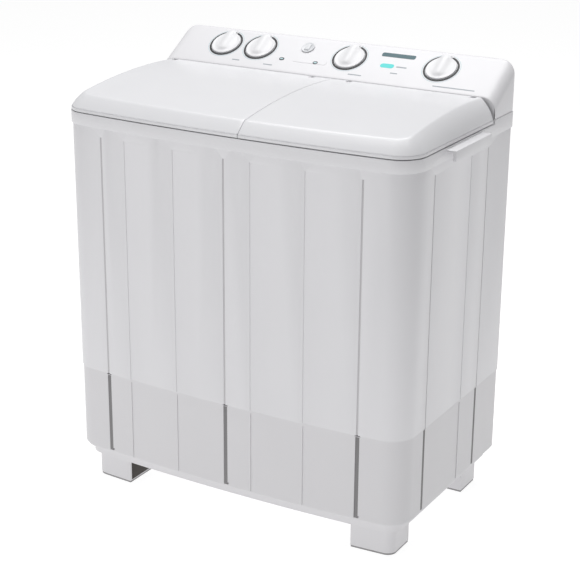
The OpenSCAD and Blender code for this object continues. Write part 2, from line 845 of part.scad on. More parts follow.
module pulsator() {
  z0 = wash_floor + 4;
  color("lightskyblue") translate([wash_cx, tub_cy, z0]) difference() {
    union() {
      cylinder(r = pulsator_r, h = 7);
      translate([0, 0, 7]) cylinder(r1 = pulsator_r - 3, r2 = 40, h = 14);
      cylinder(r = 30, h = hub_h + 8);
      for (a = [0:60:300]) rotate(a) translate([20, -6, 0])
        intersection() {
          cube([pulsator_r - 28, 12, 34]);
          translate([-20, 6, 0]) cylinder(r1 = pulsator_r + 10, r2 = 40, h = 34);
        }
    }
    translate([0, 0, -eps]) cylinder(r = shaft_r, h = hub_h + eps - 2);
    translate([0, 0, hub_h - 4]) cylinder(r = 3, h = 20);
    translate([0, 0, hub_h + 4]) cylinder(r = 9, h = 20);
  }
}

module pulsator_screw() {
  color("silver") translate([wash_cx, tub_cy, wash_floor + 4 + hub_h - 2]) {
    cylinder(r = 3, h = 7);
    translate([0, 0, 6]) cylinder(r = 8, h = 3);
  }
}

gear_top = wash_floor + 2;
gear_low = bracket_z + plate_t;

module gearbox() {
  color("slategray") translate([wash_cx, tub_cy, gear_low]) difference() {
    union() {
      cylinder(r = gearbox_r, h = wash_floor - tub_wall - 4 - gear_low - 12);
      translate([0, 0, wash_floor - tub_wall - 16 - gear_low]) cylinder(r = gearbox_r - 14, h = 12);
      cylinder(r = gear_boss_r - 0.5, h = gear_top - gear_low);
      translate([0, 0, -10]) cylinder(r = 20, h = 11);
      cylinder(r = gearbox_r + 12, h = 4);
    }
    translate([0, 0, -12]) cylinder(r = shaft_r + run_clear, h = gear_top - gear_low + 20);
  }
}

gear_mid = (gear_low + gear_top) / 2;

module gearbox_output_shaft() {
  z0 = gear_mid + 2;
  color("silver") translate([wash_cx, tub_cy, z0]) cylinder(r = shaft_r, h = wash_floor + 2 + hub_h - z0);
}

module gearbox_input_shaft() {
  z0 = pulley_z - 6;
  color("silver") translate([wash_cx, tub_cy, z0]) cylinder(r = shaft_r, h = gear_mid - 2 - z0);
}

// Pulley with a V groove and a bore for its shaft, its middle at z = 0
module pulley(r, bore, spokes) {
  difference() {
    rotate_extrude() polygon([
      [bore, -pulley_h / 2], [r, -pulley_h / 2], [r, -5], [r - groove_depth, -3],
      [r - groove_depth, 3], [r, 5], [r, pulley_h / 2], [bore, pulley_h / 2]
    ]);
    if (spokes > 0)
      for (a = [0:360 / spokes:359]) rotate(a)
        translate([r * 0.55, 0, -pulley_h]) cylinder(r = r * 0.2, h = 2 * pulley_h);
  }
}

module driven_pulley() {
  color("dimgray") translate([wash_cx, tub_cy, pulley_z]) pulley(driven_pulley_r, shaft_r, 6);
}

module motor_pulley() {
  color("dimgray") translate([wash_cx, motor_y, pulley_z]) pulley(motor_pulley_r, shaft_r - 2, 0);
}

belt_gap = 0.4;

// Flat outline of the belt's run at a height r_add above the groove floors
module belt_outline(r_add) {
  hull() {
    circle(r = driven_pulley_r - groove_depth + r_add);
    translate([0, belt_centres]) circle(r = motor_pulley_r - groove_depth + r_add);
  }
}

module drive_belt() {
  color("black") translate([wash_cx, tub_cy, pulley_z - 2.4]) linear_extrude(height = 4.8) difference() {
    belt_outline(belt_gap + 4);
    belt_outline(belt_gap);
  }
}

module motor(r, h, bore) {
  difference() {
    union() {
      cylinder(r = r * 0.62, h = h);
      translate([0, 0, 12]) cylinder(r = r, h = h - 24);
      for (a = [45:90:315]) rotate(a) translate([r - 4, 0, 0]) cylinder(r = 7, h = h - 12);
    }
    translate([0, 0, -eps]) cylinder(r = bore, h = h + 2 * eps);
  }
}

module wash_motor() {
  color("lightslategray") translate([wash_cx, motor_y, gear_low])
    motor(motor_r, motor_h, shaft_r - 2 + run_clear);
}

module wash_motor_shaft() {
  z0 = pulley_z - 8;
  color("silver") translate([wash_cx, motor_y, z0]) cylinder(r = shaft_r - 2, h = gear_low + motor_h - 6 - z0);
}

bracket_legs = [for (sx = [-1, 1], y = [tub_cy - 90, tub_y1 - 30]) [wash_cx + sx * 85, y]];

module motor_bracket() {
  y0 = tub_cy - 110;
  y1 = motor_y + motor_r;
  top = wash_floor - tub_wall;
  color("darkgray") difference() {
    union() {
      translate([wash_cx - 100, y0, bracket_z]) cube([200, y1 - y0, plate_t]);
      for (s = [-1, 1]) translate([wash_cx + (s > 0 ? 97 : -100), y0, bracket_z]) cube([3, y1 - y0, 24]);
      for (p = bracket_legs)
        translate([p[0], p[1], bracket_z + eps]) cylinder(r = 9, h = top - bracket_z - eps);
    }
    translate([wash_cx, tub_cy, bracket_z - eps]) cylinder(r = 20.5, h = 10);
    translate([wash_cx, motor_y, bracket_z - eps]) cylinder(r = 16, h = 10);
  }
}

// ---------- spin side ----------

module spin_basket() {
  h = basket_z1 - basket_z0;
  color("lightsteelblue") translate([spin_x, tub_cy, basket_z0]) difference() {
    union() {
      cylinder(r = basket_r, h = h);
      translate([0, 0, -14]) cylinder(r = 36, h = 15);
    }
    translate([0, 0, 3]) cylinder(r = basket_r - basket_wall, h = h);
    translate([0, 0, -20]) cylinder(r = shaft_r, h = 40);
    for (k = [0:5], a = [0:36:324]) rotate(a + (k % 2) * 18) translate([0, 0, 40 + k * (h - 80) / 5])
      rod_x(5, basket_r - 8, basket_r + 5);
  }
}

module basket_balance_ring() {
  color("white") translate([spin_x, tub_cy, basket_z1]) tube(basket_r + 4, basket_neck_r, 26);
}

module basket_press_plate() {
  color("white") translate([spin_x, tub_cy, basket_z0 + 19]) difference() {
    union() {
      cylinder(r = basket_r - basket_wall - 0.5, h = 4);
      translate([-24, -5, 0]) cube([48, 10, 22]);
    }
    for (a = [0:45:315]) rotate(a) translate([basket_r * 0.6, 0, -eps]) cylinder(r = 12, h = 10);
  }
}

module spin_shaft() {
  top = basket_z0 + 14;
  color("silver") translate([spin_x, tub_cy, spin_motor_z + 8]) union() {
    cylinder(r = shaft_r, h = top - spin_motor_z - 8);
    translate([0, 0, top - spin_motor_z - 8 - eps]) cylinder(r = 11, h = 6);
  }
}

module bellows_seal() {
  color("dimgray") translate([spin_x, tub_cy, spin_floor - seal_h]) difference() {
    union() {
      cylinder(r = 24, h = seal_h);
      for (k = [0:2]) translate([0, 0, 4 + 9 * k]) cylinder(r = 30, h = 4);
      translate([0, 0, seal_h - tub_wall]) cylinder(r = seal_r, h = tub_wall + 3);
    }
    translate([0, 0, -eps]) cylinder(r = shaft_r + run_clear, h = seal_h + 10);
  }
}

module spin_motor() {
  color("lightslategray") translate([spin_x, tub_cy, spin_motor_z])
    motor(motor_r, motor_h, shaft_r + run_clear);
}

spring_r = 13;
spring_angles = [90, 210, 330];

module spin_motor_plate() {
  color("darkgray") translate([spin_x, tub_cy, plate_z]) difference() {
    union() {
      cylinder(r = motor_r + 6, h = plate_t);
      for (a = spring_angles) rotate(a) translate([0, -20, 0]) cube([spring_ring, 40, plate_t]);
      for (a = spring_angles) rotate(a) translate([spring_ring, 0, 0]) cylinder(r = 20, h = plate_t);
    }
    translate([0, 0, -eps]) cylinder(r = 12, h = plate_t + 2 * eps);
  }
}

// One coil spring as a swept tube, closed at both ends
module coil(r, wire, h, turns) {
  steps = 16;
  sides = 6;
  n = turns * steps;
  points = [for (i = [0:n], j = [0:sides - 1])
    let (a = 360 * i / steps, b = 360 * j / sides, q = r + wire * cos(b))
      [q * cos(a), q * sin(a), wire + (h - 2 * wire) * i / n + wire * sin(b)]];
  walls = [for (i = [0:n - 1], j = [0:sides - 1])
    let (k = (j + 1) % sides) [i * sides + j, i * sides + k, (i + 1) * sides + k, (i + 1) * sides + j]];
  first = [for (j = [sides - 1:-1:0]) j];
  last = [for (j = [0:sides - 1]) n * sides + j];
  polyhedron(points = points, faces = concat(walls, [first, last]));
}

module suspension_springs() {
  color("gray") for (a = spring_angles) translate([spin_x, tub_cy, floor_z]) rotate(a)
    translate([spring_ring, 0, 0]) coil(spring_r - spring_wire, spring_wire, spring_h, spring_turns);
}

module brake_drum() {
  color("gray") translate([spin_x, tub_cy, brake_z]) difference() {
    union() {
      tube(brake_r, brake_r - 5, brake_h);
      cylinder(r = brake_r - 2, h = 4);
      cylinder(r = 16, h = brake_h);
    }
    translate([0, 0, -eps]) cylinder(r = shaft_r, h = brake_h + 2 * eps);
  }
}

lever_pin_r = 4;
lever_x = spin_x - 40;

module brake_lever() {
  color("darkslategray") difference() {
    union() {
      translate([lever_x, lever_y, brake_z + 6]) cylinder(r = 9, h = 14);
      translate([lever_x, lever_y - 5, brake_z + 8]) cube([100, 8, 10]);
      translate([spin_x - 14, lever_y - 13, brake_z + 8]) cube([28, 9, 10]);
    }
    translate([lever_x, lever_y, brake_z]) cylinder(r = lever_pin_r + run_clear, h = 30);
  }
}

module brake_pivot_pin() {
  z0 = spin_motor_z + motor_h - 8;
  y0 = tub_cy + motor_r - 20;
  color("silver") union() {
    translate([lever_x, lever_y, z0]) cylinder(r = lever_pin_r, h = brake_z + 24 - z0);
    translate([lever_x - 10, y0, z0 - 4]) cube([20, lever_y + 10 - y0, 4]);
  }
}

// ---------- drain ----------

module drain_valve_body() {
  color("white") translate([strap_x, strap_y, valve_z0]) difference() {
    union() {
      cylinder(r = valve_r, h = valve_h);
      translate([0, 0, valve_h - 4]) cylinder(r = valve_r + 5, h = 4);
    }
    translate([0, 0, 8]) cylinder(r = valve_r - 4, h = valve_h - 12);
    translate([0, 0, -eps]) cylinder(r = outlet_r - 3, h = 12);
    translate([0, 0, valve_h - 6]) cylinder(r = 5, h = 10);
  }
  color("white") difference() {
    union() {
      translate([strap_x, 0, valve_z0 + 24]) rod_y(13, valve_in_y - 14, strap_y - valve_r + 3);
      translate([valve_in_x, valve_in_y - 14, valve_z0 + 24]) rod_x(13, 0, strap_x - valve_in_x);
      translate([valve_in_x, valve_in_y - 14, valve_z0 + 24]) cylinder(r = 13, h = wash_floor - valve_z0 - 24);
      translate([valve_in_x, valve_in_y - 14, valve_z0 + 24]) sphere(r = 13);
      translate([strap_x, valve_in_y - 14, valve_z0 + 24]) sphere(r = 13);
    }
    translate([valve_in_x, valve_in_y - 14, valve_z0 + 24]) cylinder(r = 10, h = wash_floor - valve_z0);
    translate([strap_x, 0, valve_z0 + 24]) rod_y(10, valve_in_y - 14, strap_y);
    translate([valve_in_x, valve_in_y - 14, valve_z0 + 24]) rod_x(10, 0, strap_x - valve_in_x);
  }
}

stem_r = 4;
stem_top = valve_z0 + valve_h + 24;

module drain_valve_plug() {
  color("dimgray") translate([strap_x, strap_y, valve_z0 + 8.3]) {
    cylinder(r1 = outlet_r + 1, r2 = plug_r, h = 8);
    translate([0, 0, 7]) cylinder(r = stem_r, h = stem_top - valve_z0 - 15.3);
  }
}

module drain_pull_strap() {
  z1 = dial_z - 52;
  color("white") translate([strap_x, strap_y, stem_top]) {
    translate([-6, -1.5, 1]) cube([12, 3, z1 - stem_top - 1]);
    difference() {
      translate([0, 0, -8]) cylinder(r = 2 * stem_r, h = 11);
      translate([0, 0, -8 - eps]) cylinder(r = stem_r, h = 8 + eps);
    }
  }
}

module drain_outlet_pipe() {
  color("dimgray") difference() {
    union() {
      translate([strap_x, strap_y, outlet_z]) cylinder(r = outlet_r, h = valve_z0 - outlet_z);
      translate([strap_x, strap_y, outlet_z]) sphere(r = outlet_r);
      translate([strap_x, 0, outlet_z]) rod_y(outlet_r, strap_y, half_d - 6);
      translate([strap_x, 0, outlet_z])
        rod_y(outlet_r + 4, half_d - skirt_inset - skirt_wall - 4, half_d - skirt_inset);
    }
    translate([strap_x, strap_y, outlet_z]) cylinder(r = outlet_r - 3, h = valve_z0);
    translate([strap_x, 0, outlet_z]) rod_y(outlet_r - 3, strap_y, half_d);
  }
}

// ---------- electrics ----------

module run_capacitor() {
  color("silver") translate([gland_x + 40, half_d - 90, floor_z]) {
    cylinder(r = 22, h = 76);
    translate([-10, -4, 75]) cube([4, 8, 10]);
    translate([6, -4, 75]) cube([4, 8, 10]);
  }
}

module mains_gland() {
  color("black") translate([gland_x, 0, gland_z]) difference() {
    union() {
      rod_y(gland_r, half_d - skirt_inset - skirt_wall - 14, half_d - skirt_inset);
      rod_y(gland_r + 4, half_d - skirt_inset, half_d - 1.5);
      rod_y(gland_r + 4, half_d - skirt_inset - skirt_wall - 6, half_d - skirt_inset - skirt_wall);
    }
    rod_y(4, half_d - 60, half_d + eps);
  }
}

cabinet();
base_skirt();
base_tray();
foot_pads();
top_frame();
rear_cover();
rear_cover_screws();
control_console();
dial_rings();
wash_timer_knob();
wash_mode_knob();
drain_knob();
spin_timer_knob();
wash_timer_shaft();
wash_mode_shaft();
drain_crank_shaft();
spin_timer_shaft();
wash_timer();
wash_mode_switch();
drain_shaft_bush();
spin_timer();
inlet_selector();
inlet_chute();
inlet_fitting();
wash_lid();
spin_lid();
lid_hinge_pins();
tub_moulding();
lint_filter();
overflow_grille();
pulsator();
pulsator_screw();
gearbox();
gearbox_output_shaft();
gearbox_input_shaft();
driven_pulley();
drive_belt();
wash_motor();
wash_motor_shaft();
motor_pulley();
motor_bracket();
spin_basket();
basket_press_plate();
basket_balance_ring();
spin_shaft();
bellows_seal();
spin_motor();
spin_motor_plate();
suspension_springs();
brake_drum();
brake_lever();
brake_pivot_pin();
drain_valve_body();
drain_valve_plug();
drain_pull_strap();
drain_outlet_pipe();
run_capacitor();
mains_gland();
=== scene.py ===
"""Looks of a twin tub washer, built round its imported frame.

Every length is in metres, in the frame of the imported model: +Z up, +X to the right, front facing -Y.
"""

import json
import logging
import math
from dataclasses import dataclass
from enum import Enum
from typing import Callable, Sequence

import bpy
from mathutils import Matrix, Vector


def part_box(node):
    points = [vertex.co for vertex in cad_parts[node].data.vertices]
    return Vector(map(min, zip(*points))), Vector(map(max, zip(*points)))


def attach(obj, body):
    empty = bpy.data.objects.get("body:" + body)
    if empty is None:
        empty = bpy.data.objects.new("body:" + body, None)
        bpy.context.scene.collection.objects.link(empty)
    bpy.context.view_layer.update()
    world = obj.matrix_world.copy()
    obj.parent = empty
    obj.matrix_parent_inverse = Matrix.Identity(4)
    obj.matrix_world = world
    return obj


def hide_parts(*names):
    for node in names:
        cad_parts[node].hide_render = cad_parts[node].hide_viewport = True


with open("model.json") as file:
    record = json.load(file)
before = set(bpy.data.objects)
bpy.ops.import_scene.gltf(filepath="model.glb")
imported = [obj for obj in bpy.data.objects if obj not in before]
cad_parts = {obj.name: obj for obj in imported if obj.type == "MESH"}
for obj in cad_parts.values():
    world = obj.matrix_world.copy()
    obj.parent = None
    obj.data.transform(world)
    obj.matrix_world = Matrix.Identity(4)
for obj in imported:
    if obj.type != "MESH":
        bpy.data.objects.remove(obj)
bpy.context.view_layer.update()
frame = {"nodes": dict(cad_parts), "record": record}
log = logging.getLogger("twin_tub_washer")
Piece = bpy.types.Object


# ---------- sizes shared with the frame ----------

HALF_W = 0.430
HALF_D = 0.260
BOW = 0.0185
BOW_R = (HALF_W**2 + BOW**2) / (2 * BOW)
BOW_Y = BOW_R - HALF_D
CORNER_R = 0.060
CORNER_X = HALF_W - CORNER_R
CORNER_Y = BOW_Y - math.sqrt((BOW_R - CORNER_R) ** 2 - CORNER_X**2)
LID_Z = 0.8855
LID_TOP = 0.9415
HINGE_Y = 0.131
ARCH_R = 1.540
ARCH_Y = 0.040
SPLIT_X = 0.0365
SHELF_Z = 0.892
CONSOLE_Y = 0.145
FACE_Z = 0.9379
SLOPE = math.radians(31.7)
DIAL_Y = 0.205
DIAL_X = (-0.287, -0.192, 0.0435, 0.2715)


def on_face(x: float, y: float, lift: float = 0.0) -> Vector:
    """Finds a place on the sloped face of the console.

    Args:
        x: Place across the washer.
        y: Place from front to back.
        lift: Height above the face, square to it.

    Returns:
        The point in the frame.
    """
    z = FACE_Z + (y - CONSOLE_Y) * math.tan(SLOPE)
    return Vector((x, y - lift * math.sin(SLOPE), z + lift * math.cos(SLOPE)))


def face_matrix(x: float, y: float) -> Matrix:
    """Gives the turn and place that lay a flat piece on the console's face."""
    return Matrix.Translation(on_face(x, y)) @ Matrix.Rotation(SLOPE, 4, "X")


# ---------- bench: small tools used on every piece ----------


def clear_selection() -> None:
    """Leaves edit mode and deselects every object."""
    if bpy.context.mode != "OBJECT":
        bpy.ops.object.mode_set(mode="OBJECT")
    bpy.ops.object.select_all(action="DESELECT")


def take(piece: Piece) -> None:
    """Makes one piece the only selected and the active one."""
    clear_selection()
    piece.select_set(True)
    bpy.context.view_layer.objects.active = piece


def edit(piece: Piece, kind: str = "VERT") -> None:
    """Opens a piece in edit mode with everything selected."""
    take(piece)
    bpy.ops.object.mode_set(mode="EDIT")
    bpy.ops.mesh.select_mode(type=kind)
    bpy.ops.mesh.select_all(action="SELECT")


def close_edit() -> None:
    """Goes back to object mode."""
    bpy.ops.object.mode_set(mode="OBJECT")


def deselect_parts(piece: Piece, kind: str) -> None:
    """Deselects all parts of a piece, so code can select some by place or normal."""
    edit(piece, kind)
    bpy.ops.mesh.select_all(action="DESELECT")
    close_edit()


def weld(piece: Piece, gap: float = 1e-5, recalculate: bool = True) -> None:
    """Merges the doubles of a piece and turns its faces outwards.

    Args:
        piece: The piece to weld.
        gap: Greatest distance between vertices that are merged.
        recalculate: Whether the normals are made consistent.
    """
    edit(piece)
    bpy.ops.mesh.remove_doubles(threshold=gap)
    bpy.ops.mesh.dissolve_degenerate(threshold=1e-6)
    bpy.ops.mesh.select_all(action="SELECT")
    if recalculate:
        bpy.ops.mesh.normals_make_consistent(inside=False)
    close_edit()


def apply_modifier(piece: Piece, kind: str, **settings: object) -> None:
    """Adds a modifier to a piece, sets it and applies it.

    Args:
        piece: The piece that is changed.
        kind: Blender's name of the modifier's type.
        **settings: Values of the modifier.
    """
    take(piece)
    modifier = piece.modifiers.new(kind.title(), kind)
    for key, value in settings.items():
        setattr(modifier, key, value)
    bpy.ops.object.modifier_apply(modifier=modifier.name)


def round_edges(piece: Piece, width: float, segments: int = 2, angle: float = 40.0) -> None:
    """Rounds the sharp edges of a piece.

    Args:
        piece: The piece that is rounded.
        width: Width of the rounding.
        segments: Number of steps across the rounding.
        angle: Edges sharper than this, in degrees, are rounded.
    """
    apply_modifier(
        piece,
        "BEVEL",
        width=width,
        segments=segments,
        limit_method="ANGLE",
        angle_limit=math.radians(angle),
        use_clamp_overlap=False,
        miter_outer="MITER_ARC",
        harden_normals=False,
    )


def smooth(piece: Piece, angle: float = 35.0) -> None:
    """Shades a piece smooth, but for edges sharper than an angle in degrees."""
    take(piece)
    bpy.ops.object.shade_smooth_by_angle(angle=math.radians(angle))


def to_frame(piece: Piece) -> None:
    """Puts a piece's place, turn and scale into its mesh."""
    take(piece)
    bpy.ops.object.transform_apply(location=True, rotation=True, scale=True)


def named(name: str) -> Piece:
    """Names the active piece and returns it."""
    piece = bpy.context.active_object
    piece.name = name
    piece.data.name = name
    return piece


def joined(name: str, pieces: Sequence[Piece]) -> Piece:
    """Joins several pieces into one.

    Args:
        name: Name of the joined piece.
        pieces: The pieces; the first one keeps its place.

    Returns:
        The joined piece.
    """
    clear_selection()
    for piece in pieces:
        piece.select_set(True)
    bpy.context.view_layer.objects.active = pieces[0]
    bpy.ops.object.join()
    return named(name)


def wrapped_sheet(
    name: str, us: Sequence[float], vs: Sequence[float], place: Callable[[float, float], Vector]
) -> Piece:
    """Wraps a flat grid over a curved surface.

    Args:
        name: Name of the piece.
        us: Values of the first coordinate, one for each line of the grid.
        vs: Values of the second coordinate, one for each line of the grid.
        place: Gives the point of the surface for a pair of values.

    Returns:
        The sheet, with its doubles not yet merged.
    """
    clear_selection()
    nu, nv = len(us) - 1, len(vs) - 1
    bpy.ops.mesh.primitive_grid_add(x_subdivisions=nu, y_subdivisions=nv, size=1.0)
    piece = named(name)
    for vertex in piece.data.vertices:
        i = round((vertex.co.x + 0.5) * nu)
        j = round((vertex.co.y + 0.5) * nv)
        vertex.co = place(us[i], vs[j])
    return piece


def refined_copy(node: str, width: float = 0.0008, segments: int = 2, flat: float = 0.25) -> Piece:
    """Copies a node of the frame, merges its doubles and softens its edges.

    Args:
        node: Name of the node.
        width: Width of the rounding, or 0 for none.
        segments: Number of steps across the rounding.
        flat: Faces that meet at less than this angle, in degrees, become one.

    Returns:
        The copy, with the node's mesh left as it was.
    """
    piece = bpy.data.objects.new(node + "_finished", frame["nodes"][node].data.copy())
    bpy.context.scene.collection.objects.link(piece)
    piece.data.materials.clear()
    take(piece)
    if piece.data.has_custom_normals:
        bpy.ops.mesh.customdata_custom_splitnormals_clear()
    weld(piece, recalculate=False)
    edit(piece)
    bpy.ops.mesh.dissolve_limited(angle_limit=math.radians(flat))
    close_edit()
    if width > 0:
        round_edges(piece, width, segments)
    return piece


def steps(*spans: tuple[float, float, int]) -> list[float]:
    """Lists values along spans that follow each other.

    Args:
        *spans: First value, last value and number of steps of each span.

    Returns:
        All values, each shared end once.
    """
    values = [spans[0][0]]
    for first, last, count in spans:
        values += [first + (last - first) * k / count for k in range(1, count + 1)]
    return values


def softened(a: float, b: float, k: float) -> float:
    """Takes the smaller of two values, with a rounding of size k where they cross."""
    h = max(k - abs(a - b), 0.0) / k
    return min(a, b) - h * h * k * 0.25


# ---------- finishes ----------


class Grain(Enum):
    """How the surface of a finish is broken up."""

    MOULDED = "fine spark grain of a moulding"
    POLISHED = "polished moulding"
    BRUSHED = "brushed along one direction"
    CAST = "rough casting"
    RUBBER = "matt rubber"
    PRINTED = "thin print"


def new_group(
    name: str, inputs: Sequence[tuple[str, str]], outputs: Sequence[tuple[str, str]]
) -> bpy.types.ShaderNodeTree:
    """Makes an empty shader node group with its sockets.

    Args:
        name: Name of the group.
        inputs: Name and socket type of each input.
        outputs: Name and socket type of each output.

    Returns:
        The group, with its input and output nodes in place.
    """
    group = bpy.data.node_groups.new(name, "ShaderNodeTree")
    for label, kind in inputs:
        group.interface.new_socket(label, in_out="INPUT", socket_type=kind)
    for label, kind in outputs:
        group.interface.new_socket(label, in_out="OUTPUT", socket_type=kind)
    group.nodes.new("NodeGroupInput")
    group.nodes.new("NodeGroupOutput")
    return group


def surface_group() -> bpy.types.ShaderNodeTree:
    """Builds the group that breaks up a surface: cloudy tone, uneven gloss and a fine grain.

    Returns:
        The group, built once and shared by every finish.
    """
    known = bpy.data.node_groups.get("Surface break-up")
    if known:
        return known
    colour, value = "NodeSocketColor", "NodeSocketFloat"
    group = new_group(
        "Surface break-up",
        [
            ("Colour", colour), ("Cloud", value), ("Cloud Scale", value), ("Gloss", value),
            ("Gloss Spread", value), ("Grain Scale", value), ("Stretch", "NodeSocketVector"),
        ],
        [("Colour", colour), ("Roughness", value), ("Height", value)],
    )
    nodes, links = group.nodes, group.links
    into, out = nodes["Group Input"], nodes["Group Output"]
    place = nodes.new("ShaderNodeTexCoord")
    stretch = nodes.new("ShaderNodeVectorMath")
    stretch.operation = "MULTIPLY"
    links.new(place.outputs["Object"], stretch.inputs[0])
    links.new(into.outputs["Stretch"], stretch.inputs[1])

    cloud = nodes.new("ShaderNodeTexNoise")
    cloud.inputs["Detail"].default_value = 3.0
    links.new(place.outputs["Object"], cloud.inputs["Vector"])
    links.new(into.outputs["Cloud Scale"], cloud.inputs["Scale"])
    tone = nodes.new("ShaderNodeMath")
    tone.operation = "MULTIPLY_ADD"
    centred = nodes.new("ShaderNodeMath")
    centred.operation = "SUBTRACT"
    centred.inputs[1].default_value = 0.5
    links.new(cloud.outputs["Fac"], centred.inputs[0])
    links.new(centred.outputs[0], tone.inputs[0])
    links.new(into.outputs["Cloud"], tone.inputs[1])
    tone.inputs[2].default_value = 1.0
    tinted = nodes.new("ShaderNodeVectorMath")
    tinted.operation = "SCALE"
    links.new(into.outputs["Colour"], tinted.inputs[0])
    links.new(tone.outputs[0], tinted.inputs["Scale"])
    links.new(tinted.outputs[0], out.inputs["Colour"])

    streak = nodes.new("ShaderNodeTexNoise")
    streak.inputs["Scale"].default_value = 34.0
    streak.inputs["Detail"].default_value = 5.0
    links.new(stretch.outputs[0], streak.inputs["Vector"])
    gloss = nodes.new("ShaderNodeMath")
    gloss.operation = "MULTIPLY_ADD"
    links.new(streak.outputs["Fac"], gloss.inputs[0])
    links.new(into.outputs["Gloss Spread"], gloss.inputs[1])
    links.new(into.outputs["Gloss"], gloss.inputs[2])
    links.new(gloss.outputs[0], out.inputs["Roughness"])

    grain = nodes.new("ShaderNodeTexNoise")
    grain.inputs["Detail"].default_value = 2.0
    links.new(stretch.outputs[0], grain.inputs["Vector"])
    links.new(into.outputs["Grain Scale"], grain.inputs["Scale"])
    links.new(grain.outputs["Fac"], out.inputs["Height"])
    return group


@dataclass(frozen=True)
class Finish:
    """One finish of the washer.

    Attributes:
        name: Name of the material.
        colour: Base colour, linear.
        gloss: Lowest roughness.
        grain: Kind of surface.
        metal: Metallic value.
        cloud: How much the tone varies.
        coat: Weight of a clear coat.
        depth: Depth of the grain, in metres.
    """

    name: str
    colour: tuple[float, float, float]
    gloss: float = 0.32
    grain: Grain = Grain.MOULDED
    metal: float = 0.0
    cloud: float = 0.035
    coat: float = 0.0
    depth: float = 0.00006

    def material(self) -> bpy.types.Material:
        """Builds the material, once.

        Returns:
            The material of this finish.
        """
        known = bpy.data.materials.get(self.name)
        if known:
            return known
        material = bpy.data.materials.new(self.name)
        material.use_nodes = True
        nodes, links = material.node_tree.nodes, material.node_tree.links
        shader = nodes["Principled BSDF"]
        shader.inputs["Metallic"].default_value = self.metal
        shader.inputs["Coat Weight"].default_value = self.coat
        shader.inputs["Coat Roughness"].default_value = 0.12
        group = nodes.new("ShaderNodeGroup")
        group.node_tree = surface_group()
        grain_scale, stretch, spread = {
            Grain.MOULDED: (900.0, (1, 1, 1), 0.10),
            Grain.POLISHED: (300.0, (1, 1, 1), 0.06),
            Grain.BRUSHED: (700.0, (0.03, 1, 1), 0.22),
            Grain.CAST: (260.0, (1, 1, 1), 0.25),
            Grain.RUBBER: (500.0, (1, 1, 1), 0.15),
            Grain.PRINTED: (1200.0, (1, 1, 1), 0.08),
        }[self.grain]
        values = {
            "Colour": (*self.colour, 1.0), "Cloud": self.cloud, "Cloud Scale": 7.0, "Gloss": self.gloss,
            "Gloss Spread": spread, "Grain Scale": grain_scale, "Stretch": stretch,
        }
        for label, value in values.items():
            group.inputs[label].default_value = value
        bump = nodes.new("ShaderNodeBump")
        bump.inputs["Distance"].default_value = self.depth
        bump.inputs["Strength"].default_value = 1.0
        links.new(group.outputs["Colour"], shader.inputs["Base Color"])
        links.new(group.outputs["Roughness"], shader.inputs["Roughness"])
        links.new(group.outputs["Height"], bump.inputs["Height"])
        links.new(bump.outputs["Normal"], shader.inputs["Normal"])
        return material


SHELL_WHITE = Finish("Cabinet white moulding", (0.700, 0.695, 0.715), 0.38, coat=0.1)
LID_WHITE = Finish("Lid white moulding", (0.715, 0.715, 0.735), 0.34, coat=0.15)
SKIRT_WHITE = Finish("Base white moulding", (0.680, 0.672, 0.690), 0.42, coat=0.08)
KNOB_WHITE = Finish("Knob white moulding", (0.74, 0.74, 0.755), 0.42, Grain.POLISHED, coat=0.05)
DIAL_DARK = Finish("Dial ring charcoal", (0.012, 0.014, 0.017), 0.50, Grain.PRINTED)
SELECTOR_GREY = Finish("Selector pale grey", (0.62, 0.63, 0.65), 0.34, Grain.POLISHED)
PAD_RUBBER = Finish("Foot pad rubber", (0.30, 0.295, 0.30), 0.62, Grain.RUBBER, depth=0.0003)
SCREW_STEEL = Finish("Plated screw steel", (0.56, 0.57, 0.58), 0.24, Grain.BRUSHED, 1.0)
SWITCH_PLASTIC = Finish("Switch ivory plastic", (0.62, 0.58, 0.47), 0.42)
TUB_PLASTIC = Finish("Tub pale blue plastic", (0.60, 0.68, 0.72), 0.28, coat=0.2)
PULSATOR_BLUE = Finish("Pulsator blue plastic", (0.16, 0.36, 0.62), 0.26, Grain.POLISHED, coat=0.3)
GEAR_CAST = Finish("Cast gear case", (0.33, 0.34, 0.36), 0.50, Grain.CAST, 0.85, depth=0.0004)
MOTOR_PAINT = Finish("Motor grey paint", (0.20, 0.22, 0.24), 0.42, Grain.CAST, 0.2, depth=0.0002)
PLATE_ZINC = Finish("Zinc plate", (0.60, 0.61, 0.62), 0.30, Grain.BRUSHED, 1.0, cloud=0.12)
BASKET_STEEL = Finish("Basket stainless steel", (0.62, 0.62, 0.63), 0.20, Grain.BRUSHED, 1.0)
RING_PLASTIC = Finish("Balance ring plastic", (0.72, 0.73, 0.74), 0.32)
PIPE_BLACK = Finish("Drain pipe black plastic", (0.03, 0.03, 0.032), 0.45)
CAPACITOR_CAN = Finish("Capacitor can", (0.52, 0.54, 0.57), 0.28, Grain.BRUSHED, 0.9)
PRINT_GREY = Finish("Grey panel print", (0.30, 0.33, 0.36), 0.45, Grain.PRINTED)
PRINT_TEAL = Finish("Dark teal panel print", (0.010, 0.075, 0.095), 0.40, Grain.PRINTED)
PRINT_TURQUOISE = Finish("Turquoise panel print", (0.045, 0.60, 0.58), 0.40, Grain.PRINTED)
PRINT_PALE = Finish("Pale cyan panel print", (0.38, 0.54, 0.57), 0.38, Grain.PRINTED)
# Painted shade: the two groove greys colour strips laid in the groove floors, standing in for the shade that
# falls in the grooves.
WIDE_GROOVE_PAINTED_SHADE = Finish("Wide groove painted shade grey", (0.22, 0.215, 0.22), 0.60, Grain.RUBBER)
FINE_GROOVE_PAINTED_SHADE = Finish("Fine groove painted shade grey", (0.52, 0.51, 0.525), 0.60, Grain.RUBBER)
# Painted shade: a thin dark sheet on each foot's inner face stands in for the shade under the washer.
FOOT_PAINTED_SHADE = Finish("Foot inner face painted shade", (0.040, 0.034, 0.030), 0.60, Grain.RUBBER)

